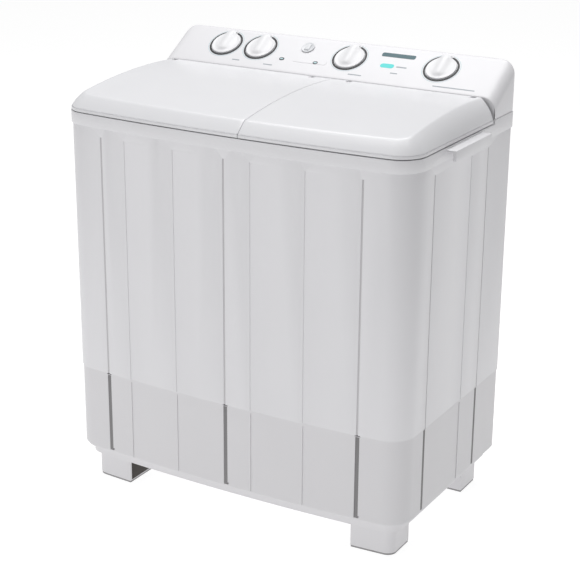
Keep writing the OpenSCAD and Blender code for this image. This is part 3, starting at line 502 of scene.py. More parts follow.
FINISH_OF_SLOT: dict[str, Finish] = {
    "white_shell": SHELL_WHITE, "lid_white": LID_WHITE, "skirt_white": SKIRT_WHITE,
    "knob_white": KNOB_WHITE, "dial_dark": DIAL_DARK, "selector_grey": SELECTOR_GREY,
    "pad_rubber": PAD_RUBBER, "screw_steel": SCREW_STEEL, "switch_plastic": SWITCH_PLASTIC,
    "tub_plastic": TUB_PLASTIC, "pulsator_blue": PULSATOR_BLUE, "gear_cast": GEAR_CAST,
    "motor_paint": MOTOR_PAINT, "plate_zinc": PLATE_ZINC, "basket_steel": BASKET_STEEL,
    "ring_plastic": RING_PLASTIC, "pipe_black": PIPE_BLACK, "capacitor_can": CAPACITOR_CAN,
}
SLOT_OF_NODE: dict[str, str] = {s["node"]: s["material_slot"] for s in frame["record"]["subparts"]}
BODY_OF_NODE: dict[str, str] = {n: b for b, ns in frame["record"]["behaviour"]["bodies"].items() for n in ns}


def dress(
    piece: Piece, finish: Finish, body: str, slot: str | None = None, replaces: Sequence[str] = ()
) -> Piece:
    """Gives a finished piece its material and its body, and hides the nodes it stands for.

    Args:
        piece: The piece, at its place in the frame.
        finish: The finish it takes.
        body: The body it rides on.
        slot: The material slot of the record; not used.
        replaces: Nodes of the frame that it stands for.

    Returns:
        The same piece.
    """
    piece.data.materials.clear()
    piece.data.materials.append(finish.material())
    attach(piece, body)
    if replaces:
        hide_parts(*replaces)
    log.info("%s: %d faces, rides on %s", piece.name, len(piece.data.polygons), body)
    return piece


def dress_as_node(piece: Piece, node: str) -> Piece:
    """Dresses a piece that stands for one node, on that node's body."""
    slot = SLOT_OF_NODE[node]
    return dress(piece, FINISH_OF_SLOT[slot], BODY_OF_NODE[node], slot, [node])


# ---------- shells ----------


@dataclass
class Shells:
    """The outer mouldings that keep the frame's own form, with softened edges.

    Attributes:
        roundings: Width of the edge rounding of each node.
    """

    roundings: dict[str, float]

    def build(self) -> None:
        """Makes and dresses each shell."""
        for node, width in self.roundings.items():
            piece = refined_copy(node, width)
            smooth(piece)
            dress_as_node(piece, node)


def front_line(x: float, inset: float) -> float:
    """Gives the place of the bowed front at a place across, stepped in by an inset."""
    return BOW_Y - math.sqrt((BOW_R - inset) ** 2 - x * x)


@dataclass(frozen=True)
class GrooveRun:
    """One height of the body with its upright grooves and the painted-shade strips laid in them.

    Attributes:
        tag: First part of the strips' names.
        inset: Step in from the band to this part of the body.
        width: Width of a strip.
        low: Height of a strip's foot.
        high: Height of a strip's top.
        finish: The dark finish of the strips, painted shade in the grooves.
    """

    tag: str
    inset: float
    width: float
    low: float
    high: float
    finish: Finish


@dataclass
class PaintedShadeStrips:
    """Painted shade: dark strips on the floors of the grooves, and dark sheets on the inner faces of the
    feet.

    Attributes:
        sink: Depth of a strip's face behind the surface.
        floor: Depth of the groove's floor.
        pitch: Distance between the lines of the front.
    """

    sink: float = 0.0009
    floor: float = 0.0068
    pitch: float = 0.0642

    def block(self, name: str, low: Sequence[float], high: Sequence[float], finish: Finish) -> None:
        """Makes one rounded strip of painted shade between two corners.

        Args:
            name: Name of the strip.
            low: Its lowest corner.
            high: Its highest corner.
            finish: The finish it takes.
        """
        clear_selection()
        bpy.ops.mesh.primitive_cube_add(size=1.0, location=[(a + b) / 2 for a, b in zip(low, high)])
        strip = named(name)
        strip.scale = [b - a for a, b in zip(low, high)]
        to_frame(strip)
        round_edges(strip, 0.0001, 2, 40.0)
        smooth(strip)
        dress(strip, finish, "machine")

    def line(self, run: GrooveRun) -> None:
        """Makes the painted-shade strips of one height of the body."""
        half = run.width / 2
        for k, step in enumerate((-5, 0, 5)):
            x = step * self.pitch
            front = front_line(x, run.inset)
            near, far = front + self.sink, front + self.floor
            low, high = (x - half, near, run.low), (x + half, far, run.high)
            self.block(f"{run.tag}_front_{k}", low, high, run.finish)
        for tag, side in (("left", -1), ("right", 1)):
            ends = sorted(side * (HALF_W - run.inset - d) for d in (self.sink, self.floor))
            for k, y in enumerate((-0.140, 0.123)):
                name = f"{run.tag}_{tag}_{k}"
                self.block(name, (ends[0], y - half, run.low), (ends[1], y + half, run.high), run.finish)

    def build(self) -> None:
        """Makes every painted-shade strip, in the grooves and on the feet."""
        # The dark strips in the base slots and cabinet grooves are painted shade.
        self.line(GrooveRun("base_groove_liner", 0.005, 0.0093, 0.0915, 0.2802, WIDE_GROOVE_PAINTED_SHADE))
        self.line(GrooveRun("cabinet_groove_liner", 0.003, 0.0038, 0.2855, 0.8365, FINE_GROOVE_PAINTED_SHADE))
        # Thin dark sheets on the feet's inner faces: painted shade.
        for tag, side in (("left", -1), ("right", 1)):
            ends = sorted((side * 0.2926, side * 0.2934))
            for k, (y0, y1) in enumerate(((-0.208, -0.132), (0.150, 0.216))):
                self.block(f"foot_painted_shade_{tag}_{k}", (ends[0], y0, 0.007), (ends[1], y1, 0.072), FOOT_PAINTED_SHADE)


# ---------- lids ----------


def plan_inset(x: float, y: float, edge: float) -> tuple[float, float]:
    """Measures how far a place is inside the lid's outer plan line.

    Args:
        x: Place across, taken as positive.
        y: Place from front to back.
        edge: Step in from the band to the lid.

    Returns:
        The inset, and 0 at the front to 1 at the side for the corner's blend.
    """
    if x > CORNER_X and y < CORNER_Y:
        dx, dy = x - CORNER_X, CORNER_Y - y
        blend = math.atan2(dx, dy) / (math.pi / 2)
        return CORNER_R - edge - math.hypot(dx, dy), blend
    side = HALF_W - edge - x
    front = BOW_R - edge - math.hypot(x, y - BOW_Y)
    if y >= CORNER_Y and side < front:
        return side, 1.0
    return front, 0.0 if side > front else 1.0


@dataclass
class Lid:
    """A lid: a crowned shell with a soft crease, a rolled rim and a hinge barrel.

    Attributes:
        node: The node it stands for.
        mirror: Minus one for the left lid, one for the right lid.
        split: Distance of its inner edge from the middle plane, along its own side.
        edge: Step in from the band to the lid.
        lip: Height of the upright strip along the rim.
        lip_step: How far the strip stands out from the skin above it.
        face_front: Width of the rolled face along the front.
        face_side: Width of the rolled face along the side.
        roll: Radius of the rolled face.
        tilt: Slope at which the rolled face runs into the top.
        crease: Softness of the line between the rolled face and the top.
        rear: Place of the back edge.
        rear_lip: Height of the back edge's turned-down strip.
        wall: Thickness of the skin.
        barrel: Radius of the hinge barrel.
        ear_inset: Distance of each console ear from the end of the lid.
        ear_gap: Half of the opening in the lid for an ear.
    """

    node: str
    mirror: int
    split: float
    edge: float = 0.001
    lip: float = 0.0075
    lip_step: float = 0.0011
    face_front: float = 0.026
    face_side: float = 0.029
    roll: float = 0.085
    tilt: float = math.radians(14)
    crease: float = 0.0024
    rear: float = HINGE_Y + 0.0070
    rear_lip: float = 0.0030
    wall: float = 0.0022
    barrel: float = 0.011
    ear_inset: float = 0.046
    ear_gap: float = 0.006

    def crown(self, y: float) -> float:
        """Gives the height of the arched top at a place from front to back."""
        return LID_TOP - ARCH_R + math.sqrt(ARCH_R**2 - (y - ARCH_Y) ** 2)

    def top(self, x: float, y: float) -> float:
        """Gives the height of the outer surface.

        Args:
            x: Place across, taken as positive on this lid's side.
            y: Place from front to back.

        Returns:
            Height of the surface.
        """
        inset, blend = plan_inset(x, y, self.edge + self.lip_step)
        inset = max(inset, 0.0)
        width = self.face_front + (self.face_side - self.face_front) * blend
        foot = LID_Z + self.lip
        crown = self.crown(y)
        rise = crown - 0.001 - foot
        chord = math.hypot(width, rise)
        sag = math.sqrt(max(self.roll**2 - (chord / 2) ** 2, 1e-9))
        mid_d, mid_z = width / 2, foot + rise / 2
        centre_d = mid_d + sag * rise / chord
        centre_z = mid_z - sag * width / chord
        reach = inset - centre_d
        slope_from = centre_d - self.roll * math.sin(self.tilt)
        if inset > slope_from:
            face = centre_z + math.sqrt(self.roll**2 - (slope_from - centre_d) ** 2)
            face += (inset - slope_from) * math.tan(self.tilt)
        else:
            face = centre_z + math.sqrt(max(self.roll**2 - reach**2, 0.0))
        return softened(crown, face, self.crease)

    def plan(self, u: float, v: float) -> tuple[float, float]:
        """Places a point of the lid's plan by blending its four border lines.

        Args:
            u: 0 at the split, 1 at the outer side.
            v: 0 at the front, 1 at the back.

        Returns:
            Place across, positive on this lid's side, and place from front to back.
        """
        edge = self.edge + self.lip_step
        half = CORNER_R - edge
        eighth = math.radians(45)

        def corner(turn: float) -> Vector:
            return Vector((CORNER_X + half * math.sin(turn), CORNER_Y - half * math.cos(turn)))

        def front(a: float) -> Vector:
            straight = CORNER_X * (BOW_R - edge) / (BOW_R - CORNER_R)
            share = (straight - self.split) / (straight - self.split + half * eighth)
            if a <= share:
                x = self.split + (straight - self.split) * a / share
                return Vector((x, BOW_Y - math.sqrt((BOW_R - edge) ** 2 - x * x)))
            start = math.asin(straight / (BOW_R - edge))
            return corner(start + (eighth - start) * (a - share) / (1 - share))

        def side(b: float) -> Vector:
            length = self.rear - CORNER_Y
            share = half * eighth / (half * eighth + length)
            if b < share:
                return corner(eighth + eighth * b / share)
            return Vector((HALF_W - edge, CORNER_Y + length * (b - share) / (1 - share)))

        inner = Vector((self.split, front(0.0).y + (self.rear - front(0.0).y) * v))
        back = Vector((self.split + (HALF_W - edge - self.split) * u, self.rear))
        rear_in, rear_out = Vector((self.split, self.rear)), Vector((HALF_W - edge, self.rear))
        bilinear = (
            front(0.0) * (1 - u) * (1 - v) + corner(eighth) * u * (1 - v)
            + rear_in * (1 - u) * v + rear_out * u * v
        )
        point = front(u) * (1 - v) + back * v + inner * (1 - u) + side(v) * u - bilinear
        return point.x, point.y

    def place(self, u: float, v: float) -> Vector:
        """Gives a point of the lid's skin, walls and lip included.

        Args:
            u: Below 0 down the split wall, 0 to 1 over the top, above 1 down the side lip.
            v: Below 0 down the front lip, 0 to 1 over the top, above 1 down the back wall.

        Returns:
            The point in the frame.
        """
        x, y = self.plan(min(max(u, 0.0), 1.0), min(max(v, 0.0), 1.0))
        z = self.top(x, y)
        down = max(-u, 0.0)
        if down > 0:
            z += (LID_Z - z) * down if y < HINGE_Y - 0.018 else -self.rear_lip * down
        elif v > 1.0:
            z -= self.rear_lip * (v - 1.0)
        out = max(u - 1.0, -v)
        if out > 0:
            push, z = self.lip_line(out)
            if y < CORNER_Y and x > CORNER_X:
                away = Vector((x - CORNER_X, y - CORNER_Y)).normalized()
            elif u > 1.0 and v >= 0.0:
                away = Vector((1.0, 0.0))
            else:
                away = Vector((x, y - BOW_Y)).normalized()
            x += away.x * push
            y += away.y * push
        return Vector((self.mirror * x, y, z))

    def lip_line(self, out: float) -> tuple[float, float]:
        """Gives how far the lip stands out and its height, for 0 to 1 down the lip."""
        line = [
            (0.0, 0.0), (-0.0004, -0.0003), (-0.0004, -0.0009), (0.0007, -0.0012), (0.0011, -0.0018),
            (0.0011, 0.0006 - self.lip), (0.0007, -self.lip),
        ]
        index = min(round(out * 6), 6)
        return line[index][0], LID_Z + self.lip + line[index][1]

    def build(self) -> None:
        """Makes the lid's shell and its hinge barrels."""
        lip = [1.0 + k / 6 for k in range(1, 7)]
        width = HALF_W - self.edge - self.lip_step - self.split
        cuts = [
            (self.mirror * ear + side * self.ear_gap - self.split) / width
            for ear in self.ears() for side in (-1, 1)
        ]
        spread = steps((0.0, 0.88, 36), (0.88, 1.0, 26))
        across = [u for u in spread if min(abs(u - cut) for cut in cuts) > 0.002]
        us = [-1.0, -0.5] + sorted(across + cuts) + lip
        vs = [-(k / 6) for k in range(6, 0, -1)] + steps((0.0, 0.14, 30), (0.14, 1.0, 40)) + [1.5, 2.0]
        shell = wrapped_sheet(self.node + "_shell", us, vs, self.place)
        weld(shell, gap=2e-5)
        self.cut_notches(shell)
        apply_modifier(shell, "SOLIDIFY", thickness=self.wall, offset=-1.0, use_even_offset=False)
        round_edges(shell, 0.0009, 2, 50.0)
        smooth(shell, 40.0)
        dress_as_node(shell, self.node)
        self.build_barrels()

    def ears(self) -> tuple[float, float]:
        """Gives the places across of the console's two ears that hold this lid."""
        low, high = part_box(self.node)
        return low.x + self.ear_inset, high.x - self.ear_inset

    def cut_notches(self, shell: Piece) -> None:
        """Opens the rear of the skin over each ear, so the lid can swing up past it."""
        deselect_parts(shell, "FACE")
        ears = self.ears()
        for face in shell.data.polygons:
            near_ear = min(abs(face.center.x - ear) for ear in ears) < self.ear_gap
            face.select = near_ear and face.center.y > HINGE_Y - 0.0075
        bpy.ops.object.mode_set(mode="EDIT")
        bpy.ops.mesh.delete(type="FACE")
        close_edit()

    def build_barrels(self) -> None:
        """Makes the three lengths of hinge barrel, with gaps for the console's ears."""
        low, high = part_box(self.node)
        lo, hi = (low.x, high.x - 0.002) if self.mirror > 0 else (low.x + 0.002, high.x)
        reach = 0.033
        lo, hi = (lo + 0.001, hi - reach) if self.mirror > 0 else (lo + reach, hi - 0.001)
        ears, gap = self.ears(), self.ear_gap
        spans = [(lo, ears[0] - gap), (ears[0] + gap, ears[1] - gap), (ears[1] + gap, hi)]
        axis_z = self.crown(HINGE_Y) - self.barrel - 0.0004
        lengths = []
        for first, last in spans:
            clear_selection()
            bpy.ops.mesh.primitive_cylinder_add(
                vertices=48, radius=self.barrel, depth=last - first,
                location=((first + last) / 2, HINGE_Y, axis_z), rotation=(0.0, math.pi / 2, 0.0),
            )
            lengths.append(named("barrel"))
        barrel = joined(self.node + "_barrel", lengths)
        to_frame(barrel)
        round_edges(barrel, 0.001, 2, 60.0)
        smooth(barrel)
        dress(barrel, LID_WHITE, BODY_OF_NODE[self.node], "lid_white")


# ---------- console ----------


@dataclass
class Console:
    """The sloped control console: a hood with rounded ends, set on the shelf of the top frame.

    Attributes:
        side: Reach of the hood across, from the middle.
        back: Place of its back wall.
        end_round: Radius of the rounding along its ends.
        back_round: Radius of the rounding along its crest.
        rear_corner: Radius of its rear corners in plan.
        pocket_x: Place of the water inlet's pocket across.
        pocket_z: Height of the pocket's middle.
        pocket_r: Radius of the pocket.
        pocket_depth: Depth of the pocket.
        thread_r: Radius of the hole in the pocket's floor.
    """

    side: float = HALF_W - 0.0015
    back: float = HALF_D - 0.001
    end_round: float = 0.030
    back_round: float = 0.008
    rear_corner: float = 0.0205
    pocket_x: float = -0.120
    pocket_z: float = SHELF_Z + 0.036
    pocket_r: float = 0.032
    pocket_depth: float = 0.030
    thread_r: float = 0.0101

    def height(self, x: float, y: float) -> float:
        """Gives the height of the hood's skin.

        Args:
            x: Place across, taken as positive.
            y: Place from front to back.

        Returns:
            Height of the skin.
        """
        slope = math.tan(SLOPE)
        crest_y = self.back - self.back_round
        crest = FACE_Z + (crest_y - CONSOLE_Y) * slope - self.back_round / math.cos(SLOPE)
        turn_y = crest_y - self.back_round * math.sin(SLOPE)
        if y <= turn_y:
            z = FACE_Z + (y - CONSOLE_Y) * slope
        else:
            z = crest + math.sqrt(max(self.back_round**2 - (y - crest_y) ** 2, 0.0))
        inset = max(self.side - x, 0.0)
        if inset < self.end_round:
            z -= self.end_round - math.sqrt(self.end_round**2 - (self.end_round - inset) ** 2)
        return z

    def limit(self, y: float) -> float:
        """Gives how far the side reaches at a place from front to back."""
        start = self.back - self.rear_corner
        if y <= start:
            return self.side
        return self.side - self.rear_corner + math.sqrt(max(self.rear_corner**2 - (y - start) ** 2, 0.0))

    def place(self, u: float, v: float) -> Vector:
        """Gives a point of the hood, its upright walls included.

        Args:
            u: -1 to 1 across, beyond that down the end walls.
            v: 0 to 1 from front to back, beyond that down the front and back walls.

        Returns:
            The point in the frame.
        """
        y = CONSOLE_Y + (self.back - CONSOLE_Y) * min(max(v, 0.0), 1.0)
        across = min(max(u, -1.0), 1.0)
        reach = self.limit(y)
        x = across * reach
        z = self.height(abs(x) + self.side - reach if abs(across) > 0.9 else abs(x), y)
        down = max(abs(u) - 1.0, -v, v - 1.0, 0.0)
        z += (SHELF_Z - z) * min(down, 1.0)
        return Vector((x, y, z))

    def build(self) -> None:
        """Makes the hood, its hinge ears and the pocket of the water inlet."""
        ends = [1.0 - (1.0 - math.cos(math.radians(a))) * self.end_round / self.side for a in range(0, 91, 9)]
        half = steps((0.0, ends[-1], 14))[:-1] + ends[::-1]
        us = [-2.0, -1.5] + [-u for u in half[:0:-1]] + half + [1.5, 2.0]
        depth = self.back - CONSOLE_Y
        rounds = [1.0 - math.sin(math.radians(a)) for a in range(-30, 91, 15)]
        crest = [1.0 - share * self.back_round / depth for share in rounds]
        vs = [-1.0, -0.5] + steps((0.0, crest[0], 16)) + crest[1:] + [1.5, 2.0]
        hood = wrapped_sheet("control_console_hood", us, vs, self.place)
        weld(hood, gap=2e-5)
        apply_modifier(hood, "SOLIDIFY", thickness=0.003, offset=-1.0, use_even_offset=True)
        round_edges(hood, 0.002, 3, 50.0)
        self.open_pocket(hood)
        ears = refined_copy("control_console", 0.0)
        edit(ears)
        bpy.ops.mesh.bisect(
            plane_co=(0.0, CONSOLE_Y - 0.0002, 0.0), plane_no=(0.0, 1.0, 0.0), use_fill=True, clear_outer=True
        )
        close_edit()
        round_edges(ears, 0.0006, 2, 40.0)
        hood = joined("control_console_hood", [hood, ears])
        smooth(hood, 40.0)
        dress_as_node(hood, "control_console")

    def open_pocket(self, hood: Piece) -> None:
        """Sinks the round pocket of the water inlet into the hood's back."""
        deep = self.pocket_depth

        def rod(name: str, radius: float, first: float, last: float) -> Piece:
            clear_selection()
            bpy.ops.mesh.primitive_cylinder_add(
                vertices=64, radius=radius, depth=last - first,
                location=(self.pocket_x, (first + last) / 2, self.pocket_z), rotation=(math.pi / 2, 0.0, 0.0),
            )
            return named(name)

        cup = rod("pocket", self.pocket_r + 0.003, self.back - deep - 0.003, self.back - 0.0015)
        to_frame(cup)
        floor = self.back - deep
        cuts = ((cup, self.pocket_r, floor), (cup, self.thread_r, floor - 0.01), (hood, self.pocket_r, floor))
        for piece, radius, first in cuts:
            cutter = rod("cutter", radius, first, self.back + 0.01)
            apply_modifier(piece, "BOOLEAN", operation="DIFFERENCE", solver="EXACT", object=cutter)
            bpy.data.objects.remove(cutter)
        joined("control_console_hood", [hood, cup])


@dataclass
class Dial:
    """One dial: its dark ring with an open top, a pale printed circle and the knob.

    Attributes:
        x: Place of the dial across the console.
        node: The knob's node.
        radius: Radius of the knob's dish.
        ring: Middle radius of the dark ring.
        ring_width: Width of the dark ring.
        gap: Half of the ring's opening at the top.
        tip: Reach of the knob's pointer.
        dish: Height of the knob's dish.
        brim: Height of the knob's outer edge.
        height: Height of the knob's grip.
    """

    x: float
    node: str
    radius: float = 0.0350
    ring: float = 0.0387
    ring_width: float = 0.0046
    gap: float = 0.0125
    tip: float = 0.0425
    dish: float = 0.0034
    brim: float = 0.0019
    height: float = 0.0105

    def outline(self, turn: float) -> float:
        """Gives the knob's reach in a direction, longer where its pointer covers the ring's gap."""
        off = abs(turn - math.pi / 2)
        half = math.asin(self.gap / self.tip)
        blend = min(max((off - half * 0.72) / (half * 0.5), 0.0), 1.0)
        blend = blend * blend * (3 - 2 * blend)
        return self.tip + (self.radius - self.tip) * blend

    def relief(self, x: float, y: float, rho: float) -> float:
        """Gives the height of the knob's skin above the face.

        Args:
            x: Place across the knob.
            y: Place up the knob.
            rho: Share of the way from the middle to the outline.

        Returns:
            Height above the face.
        """
        share = (y + self.radius) / (self.radius + self.tip)
        base = self.dish - 0.0008 * math.exp(-(((rho - 0.78) / 0.14) ** 2))
        widen = 0.0108 + 0.0032 * share
        across = math.exp(-((abs(x) / widen) ** 2.4))
        along = 1.0 / (1.0 + math.exp(-(y + self.radius * 0.72) / 0.0032))
        along *= 1.0 / (1.0 + math.exp((y - self.tip + 0.0040) / 0.0013))
        z = base + (self.height - self.dish) * (0.70 + 0.30 * share) * across * along
        edge = max(rho - 0.93, 0.0) / 0.07
        return z - (z - self.brim) * (1.0 - math.sqrt(max(1.0 - edge * edge, 0.0)))

    def build_knob(self) -> None:
        """Makes the knob as a skin wrapped round its own middle."""

        def place(u: float, v: float) -> Vector:
            turn = 2 * math.pi * u
            near = turn if turn <= 1.5 * math.pi else turn - 2 * math.pi
            reach = self.outline(near)
            rho = min(v, 1.0)
            x, y = rho * reach * math.cos(turn), rho * reach * math.sin(turn)
            z = self.relief(x, y, rho) if v <= 1.0 else (0.0009 if v < 1.6 else 0.0007)
            if v > 1.6:
                x, y = 0.0, 0.0
            return face_matrix(self.x, DIAL_Y) @ Vector((x, y, z))

        us = steps((0.0, 1.0, 120))
        vs = steps((0.0, 0.9, 26), (0.9, 1.0, 8)) + [1.5, 2.0]
        knob = wrapped_sheet(self.node + "_cap", us, vs, place)
        weld(knob, gap=2e-5)
        round_edges(knob, 0.0003, 2, 60.0)
        smooth(knob, 45.0)
        dress_as_node(knob, self.node)

    def arc(
        self, name: str, radius: float, width: float, lift: float, top: float, open_half: float,
        finish: Finish, slot: str | None,
    ) -> Piece:
        """Makes a flat raised arc round the dial.

        Args:
            name: Name of the piece.
            radius: Middle radius.
            width: Width of the arc.
            lift: Height of its underside.
            top: Height of its face.
            open_half: Half of the opening at the top, in radians.
            finish: The finish it takes.
            slot: The record's slot, if it has one.

        Returns:
            The dressed arc.
        """
        shoulder = top * 0.7
        rise = [(-0.5, lift), (-0.5, shoulder), (-0.42, top)]
        section = rise + [(-off, z) for off, z in reversed(rise)] + rise[:1]

        def place(u: float, v: float) -> Vector:
            turn = math.pi / 2 + open_half + (2 * math.pi - 2 * open_half) * u
            off, z = section[round(v * 6)]
            r = radius + off * width
            return face_matrix(self.x, DIAL_Y) @ Vector((r * math.cos(turn), r * math.sin(turn), z))

        arc = wrapped_sheet(name, steps((0.0, 1.0, 96)), [k / 6 for k in range(7)], place)
        weld(arc, gap=1e-6)
        edit(arc)
        bpy.ops.mesh.select_all(action="DESELECT")
        bpy.ops.mesh.select_non_manifold()
        bpy.ops.mesh.fill_holes(sides=0)
        bpy.ops.mesh.select_all(action="SELECT")
        bpy.ops.mesh.normals_make_consistent(inside=False)
        close_edit()
        smooth(arc, 30.0)
        return dress(arc, finish, "machine", slot)

    def build(self) -> None:
        """Makes the dial's ring, printed circle and knob."""
        tag = self.node.removesuffix("_knob")
        half = math.asin(self.gap / self.ring)
        ring = self.arc(
            tag + "_ring", self.ring, self.ring_width, -0.0004, 0.0007, half, DIAL_DARK, "dial_dark"
        )
        if self.node == "wash_timer_knob":
            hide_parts("dial_rings")
        self.arc(tag + "_circle", 0.0438, 0.0010, -0.0002, 0.00022, 0.30, PRINT_PALE, None)
        self.build_knob()


@dataclass
class Print:
    """Flat printed marks on the console, all plain bars and plates.

    Attributes:
        captions: Place across, place from front to back and width of each caption bar.
    """

    captions: tuple[tuple[float, float, float], ...] = (
        (-0.234, 0.1625, 0.020), (-0.146, 0.1600, 0.024), (0.080, 0.1610, 0.034), (0.3235, 0.1575, 0.100),
    )

    def bar(
        self, name: str, x: float, y: float, w: float, d: float, finish: Finish,
        round_share: float = 0.5, lift: float = 0.00025,
    ) -> Piece:
        """Makes one bar with rounded ends on the face.

        Args:
            name: Name of the piece.
            x: Middle of the bar across.
            y: Middle of the bar from front to back.
            w: Width across.
            d: Width up the face.
            finish: The finish it takes.
            round_share: Corner radius as a share of the bar's smaller side.
            lift: How far its face stands out.

        Returns:
            The dressed bar.
        """
        clear_selection()
        bpy.ops.mesh.primitive_cube_add(size=1.0)
        piece = named(name)
        piece.scale = (w, d, 2 * lift)
        to_frame(piece)
        deselect_parts(piece, "EDGE")
        for edge in piece.data.edges:
            a, b = (piece.data.vertices[i].co for i in edge.vertices)
            edge.select = abs(a.z - b.z) > lift
        bpy.ops.object.mode_set(mode="EDIT")
        bpy.ops.mesh.bevel(offset=min(w, d) * round_share * 0.98, segments=6)
        close_edit()
        piece.data.transform(face_matrix(x, y))
        smooth(piece, 30.0)
        return dress(piece, finish, "machine")

    def build(self) -> None:
        """Prints the plain bars and plates of the console."""
        self.bar("name_bar", 0.1575, 0.2255, 0.083, 0.0125, PRINT_TEAL, 0.3)
        self.bar("badge_patch", 0.1435, 0.1955, 0.034, 0.0135, PRINT_TURQUOISE, 0.5)
        self.bar("badge_line", 0.1790, 0.1955, 0.026, 0.0035, PRINT_GREY)
        self.bar("badge_note", 0.1690, 0.1775, 0.018, 0.0030, PRINT_GREY)
        self.bar("inlet_plate", -0.047, 0.1828, 0.086, 0.0145, SHELL_WHITE, 0.3, lift=0.0005)
        for side, x in (("left", -0.120), ("right", -0.0315)):
            self.bar(side + "_window", x, 0.1803, 0.0125, 0.0090, DIAL_DARK, lift=0.0006)
            self.bar(side + "_lens", x, 0.1803, 0.0080, 0.0045, PRINT_PALE, lift=0.0009)
        for k, (x, y, w) in enumerate(self.captions):
            self.bar(f"caption_{k}", x, y, w, 0.0028, PRINT_GREY)


@dataclass
class Selector:
    """The water inlet's slide: a round thumb piece with a low rib on a shallow plate."""

    x: float = -0.072
    y: float = 0.219

    def build(self) -> None:
        """Makes the thumb piece with its rib."""
        clear_selection()
        bpy.ops.mesh.primitive_cylinder_add(
            vertices=72, radius=0.016, depth=0.0022, location=(0.0, 0.0, 0.0016)
        )
        disc = named("selector_disc")
        deselect_parts(disc, "FACE")
        to_frame(disc)
        for face in disc.data.polygons:
            face.select = face.normal.z > 0.9
        bpy.ops.object.mode_set(mode="EDIT")
        bpy.ops.mesh.inset(thickness=0.0022, depth=0.0)
        bpy.ops.mesh.inset(thickness=0.0012, depth=-0.0006)
        close_edit()
        clear_selection()
        bpy.ops.mesh.primitive_cube_add(size=1.0, location=(0.0, 0.0, 0.0025))
        rib = named("selector_rib")
        rib.scale = (0.012, 0.020, 0.0030)
        to_frame(rib)
        round_edges(rib, 0.0013, 4, 40.0)
        thumb = joined("inlet_selector_thumb", [disc, rib])
        round_edges(thumb, 0.0005, 2, 60.0)
        thumb.data.transform(face_matrix(self.x, self.y))
        smooth(thumb, 40.0)
        dress_as_node(thumb, "inlet_selector")


# ---------- studio ----------


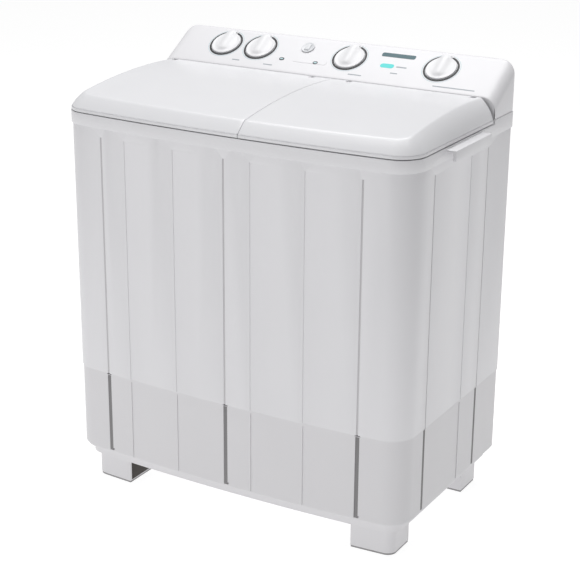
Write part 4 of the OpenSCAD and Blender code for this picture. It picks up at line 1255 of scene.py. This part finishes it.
@dataclass
class Studio:
    """Camera, floor and lights.

    Attributes:
        yaw: Turn of the camera about the upright, away from straight on.
        pitch: How far the camera looks down.
        roll: Lean of the camera.
        place: Where the camera stands.
        lens: Focal length in millimetres.
        floor_tone: Base colour of the floor.
        floor_glow: Strength of the floor's own light.
        room_light: Strength of the even light from all sides.
    """

    yaw: float = math.radians(30.33)
    pitch: float = math.radians(19.63)
    roll: float = math.radians(0.446)
    place: tuple[float, float, float] = (1.6679, -2.8299, 1.644)
    lens: float = 95.2
    floor_tone: float = 0.30
    floor_glow: float = 0.86
    room_light: float = 0.33

    def camera(self) -> None:
        """Sets the camera that the main view uses."""
        level = math.cos(self.pitch)
        ahead = Vector((-math.sin(self.yaw) * level, math.cos(self.yaw) * level, -math.sin(self.pitch)))
        right = Vector((math.cos(self.yaw), math.sin(self.yaw), 0.0))
        up = right.cross(ahead)
        right_r = right * math.cos(self.roll) + up * math.sin(self.roll)
        up_r = -right * math.sin(self.roll) + up * math.cos(self.roll)
        turn = Matrix((right_r, up_r, -ahead)).transposed().to_4x4()
        data = bpy.data.cameras.new("Camera")
        data.lens = self.lens
        data.sensor_width = 36.0
        data.clip_end = 60.0
        camera = bpy.data.objects.new("Camera", data)
        camera.matrix_world = Matrix.Translation(self.place) @ turn
        bpy.context.scene.collection.objects.link(camera)
        bpy.context.scene.camera = camera

    def light(
        self, name: str, place: Sequence[float], aim: Sequence[float], size: float, power: float
    ) -> None:
        """Hangs one soft square lamp.

        Args:
            name: Name of the lamp.
            place: Where it hangs.
            aim: Point that it looks at.
            size: Side of its square.
            power: Power in watts.
        """
        data = bpy.data.lights.new(name, "AREA")
        data.size = size
        data.energy = power
        lamp = bpy.data.objects.new(name, data)
        lamp.location = place
        lamp.rotation_euler = (Vector(aim) - Vector(place)).to_track_quat("-Z", "Y").to_euler()
        bpy.context.scene.collection.objects.link(lamp)

    def build(self) -> None:
        """Makes the floor, the lights and the camera."""
        clear_selection()
        bpy.ops.mesh.primitive_plane_add(size=40.0)
        floor = named("floor")
        floor_finish = bpy.data.materials.new("Pale floor")
        floor_finish.use_nodes = True
        shader = floor_finish.node_tree.nodes["Principled BSDF"]
        shader.inputs["Base Color"].default_value = (self.floor_tone, self.floor_tone, self.floor_tone, 1.0)
        shader.inputs["Emission Color"].default_value = (1.0, 1.0, 1.0, 1.0)
        shader.inputs["Emission Strength"].default_value = self.floor_glow
        shader.inputs["Roughness"].default_value = 0.85
        shader.inputs["Specular IOR Level"].default_value = 0.1
        floor.data.materials.append(floor_finish)
        world = bpy.data.worlds.new("Studio")
        world.use_nodes = True
        sky = world.node_tree.nodes["Background"]
        sky.inputs["Color"].default_value = (1.0, 1.0, 1.0, 1.0)
        sky.inputs["Strength"].default_value = self.room_light
        bpy.context.scene.world = world
        self.light("key", (-1.6, -4.4, 1.5), (0.0, 0.0, 0.4), 2.4, 40.0)
        self.light("top", (-0.3, 0.7, 4.2), (0.0, 0.0, 0.7), 3.0, 132.0)
        bpy.context.scene.view_settings.view_transform = "Standard"
        self.camera()


def dress_nodes() -> None:
    """Gives every node of the frame the finish of its slot."""
    for node, piece in frame["nodes"].items():
        finish = FINISH_OF_SLOT[SLOT_OF_NODE[node]]
        piece.data.materials.clear()
        piece.data.materials.append(finish.material())


def main() -> None:
    """Builds the washer's looks, one sub-assembly after another."""
    logging.basicConfig(level=logging.INFO, format="%(name)s: %(message)s")
    dress_nodes()
    Shells({
        "cabinet": 0.0006, "base_skirt": 0.0, "base_tray": 0.0015, "foot_pads": 0.0005, "top_frame": 0.0012,
    }).build()
    PaintedShadeStrips().build()
    Lid("wash_lid", -1, -(SPLIT_X - 0.0005)).build()
    Lid("spin_lid", 1, SPLIT_X + 0.0005).build()
    Console().build()
    for x, node in zip(DIAL_X, ("wash_timer_knob", "wash_mode_knob", "drain_knob", "spin_timer_knob")):
        Dial(x, node).build()
    Selector().build()
    Print().build()
    Studio().build()


if __name__ == "__main__":
    main()
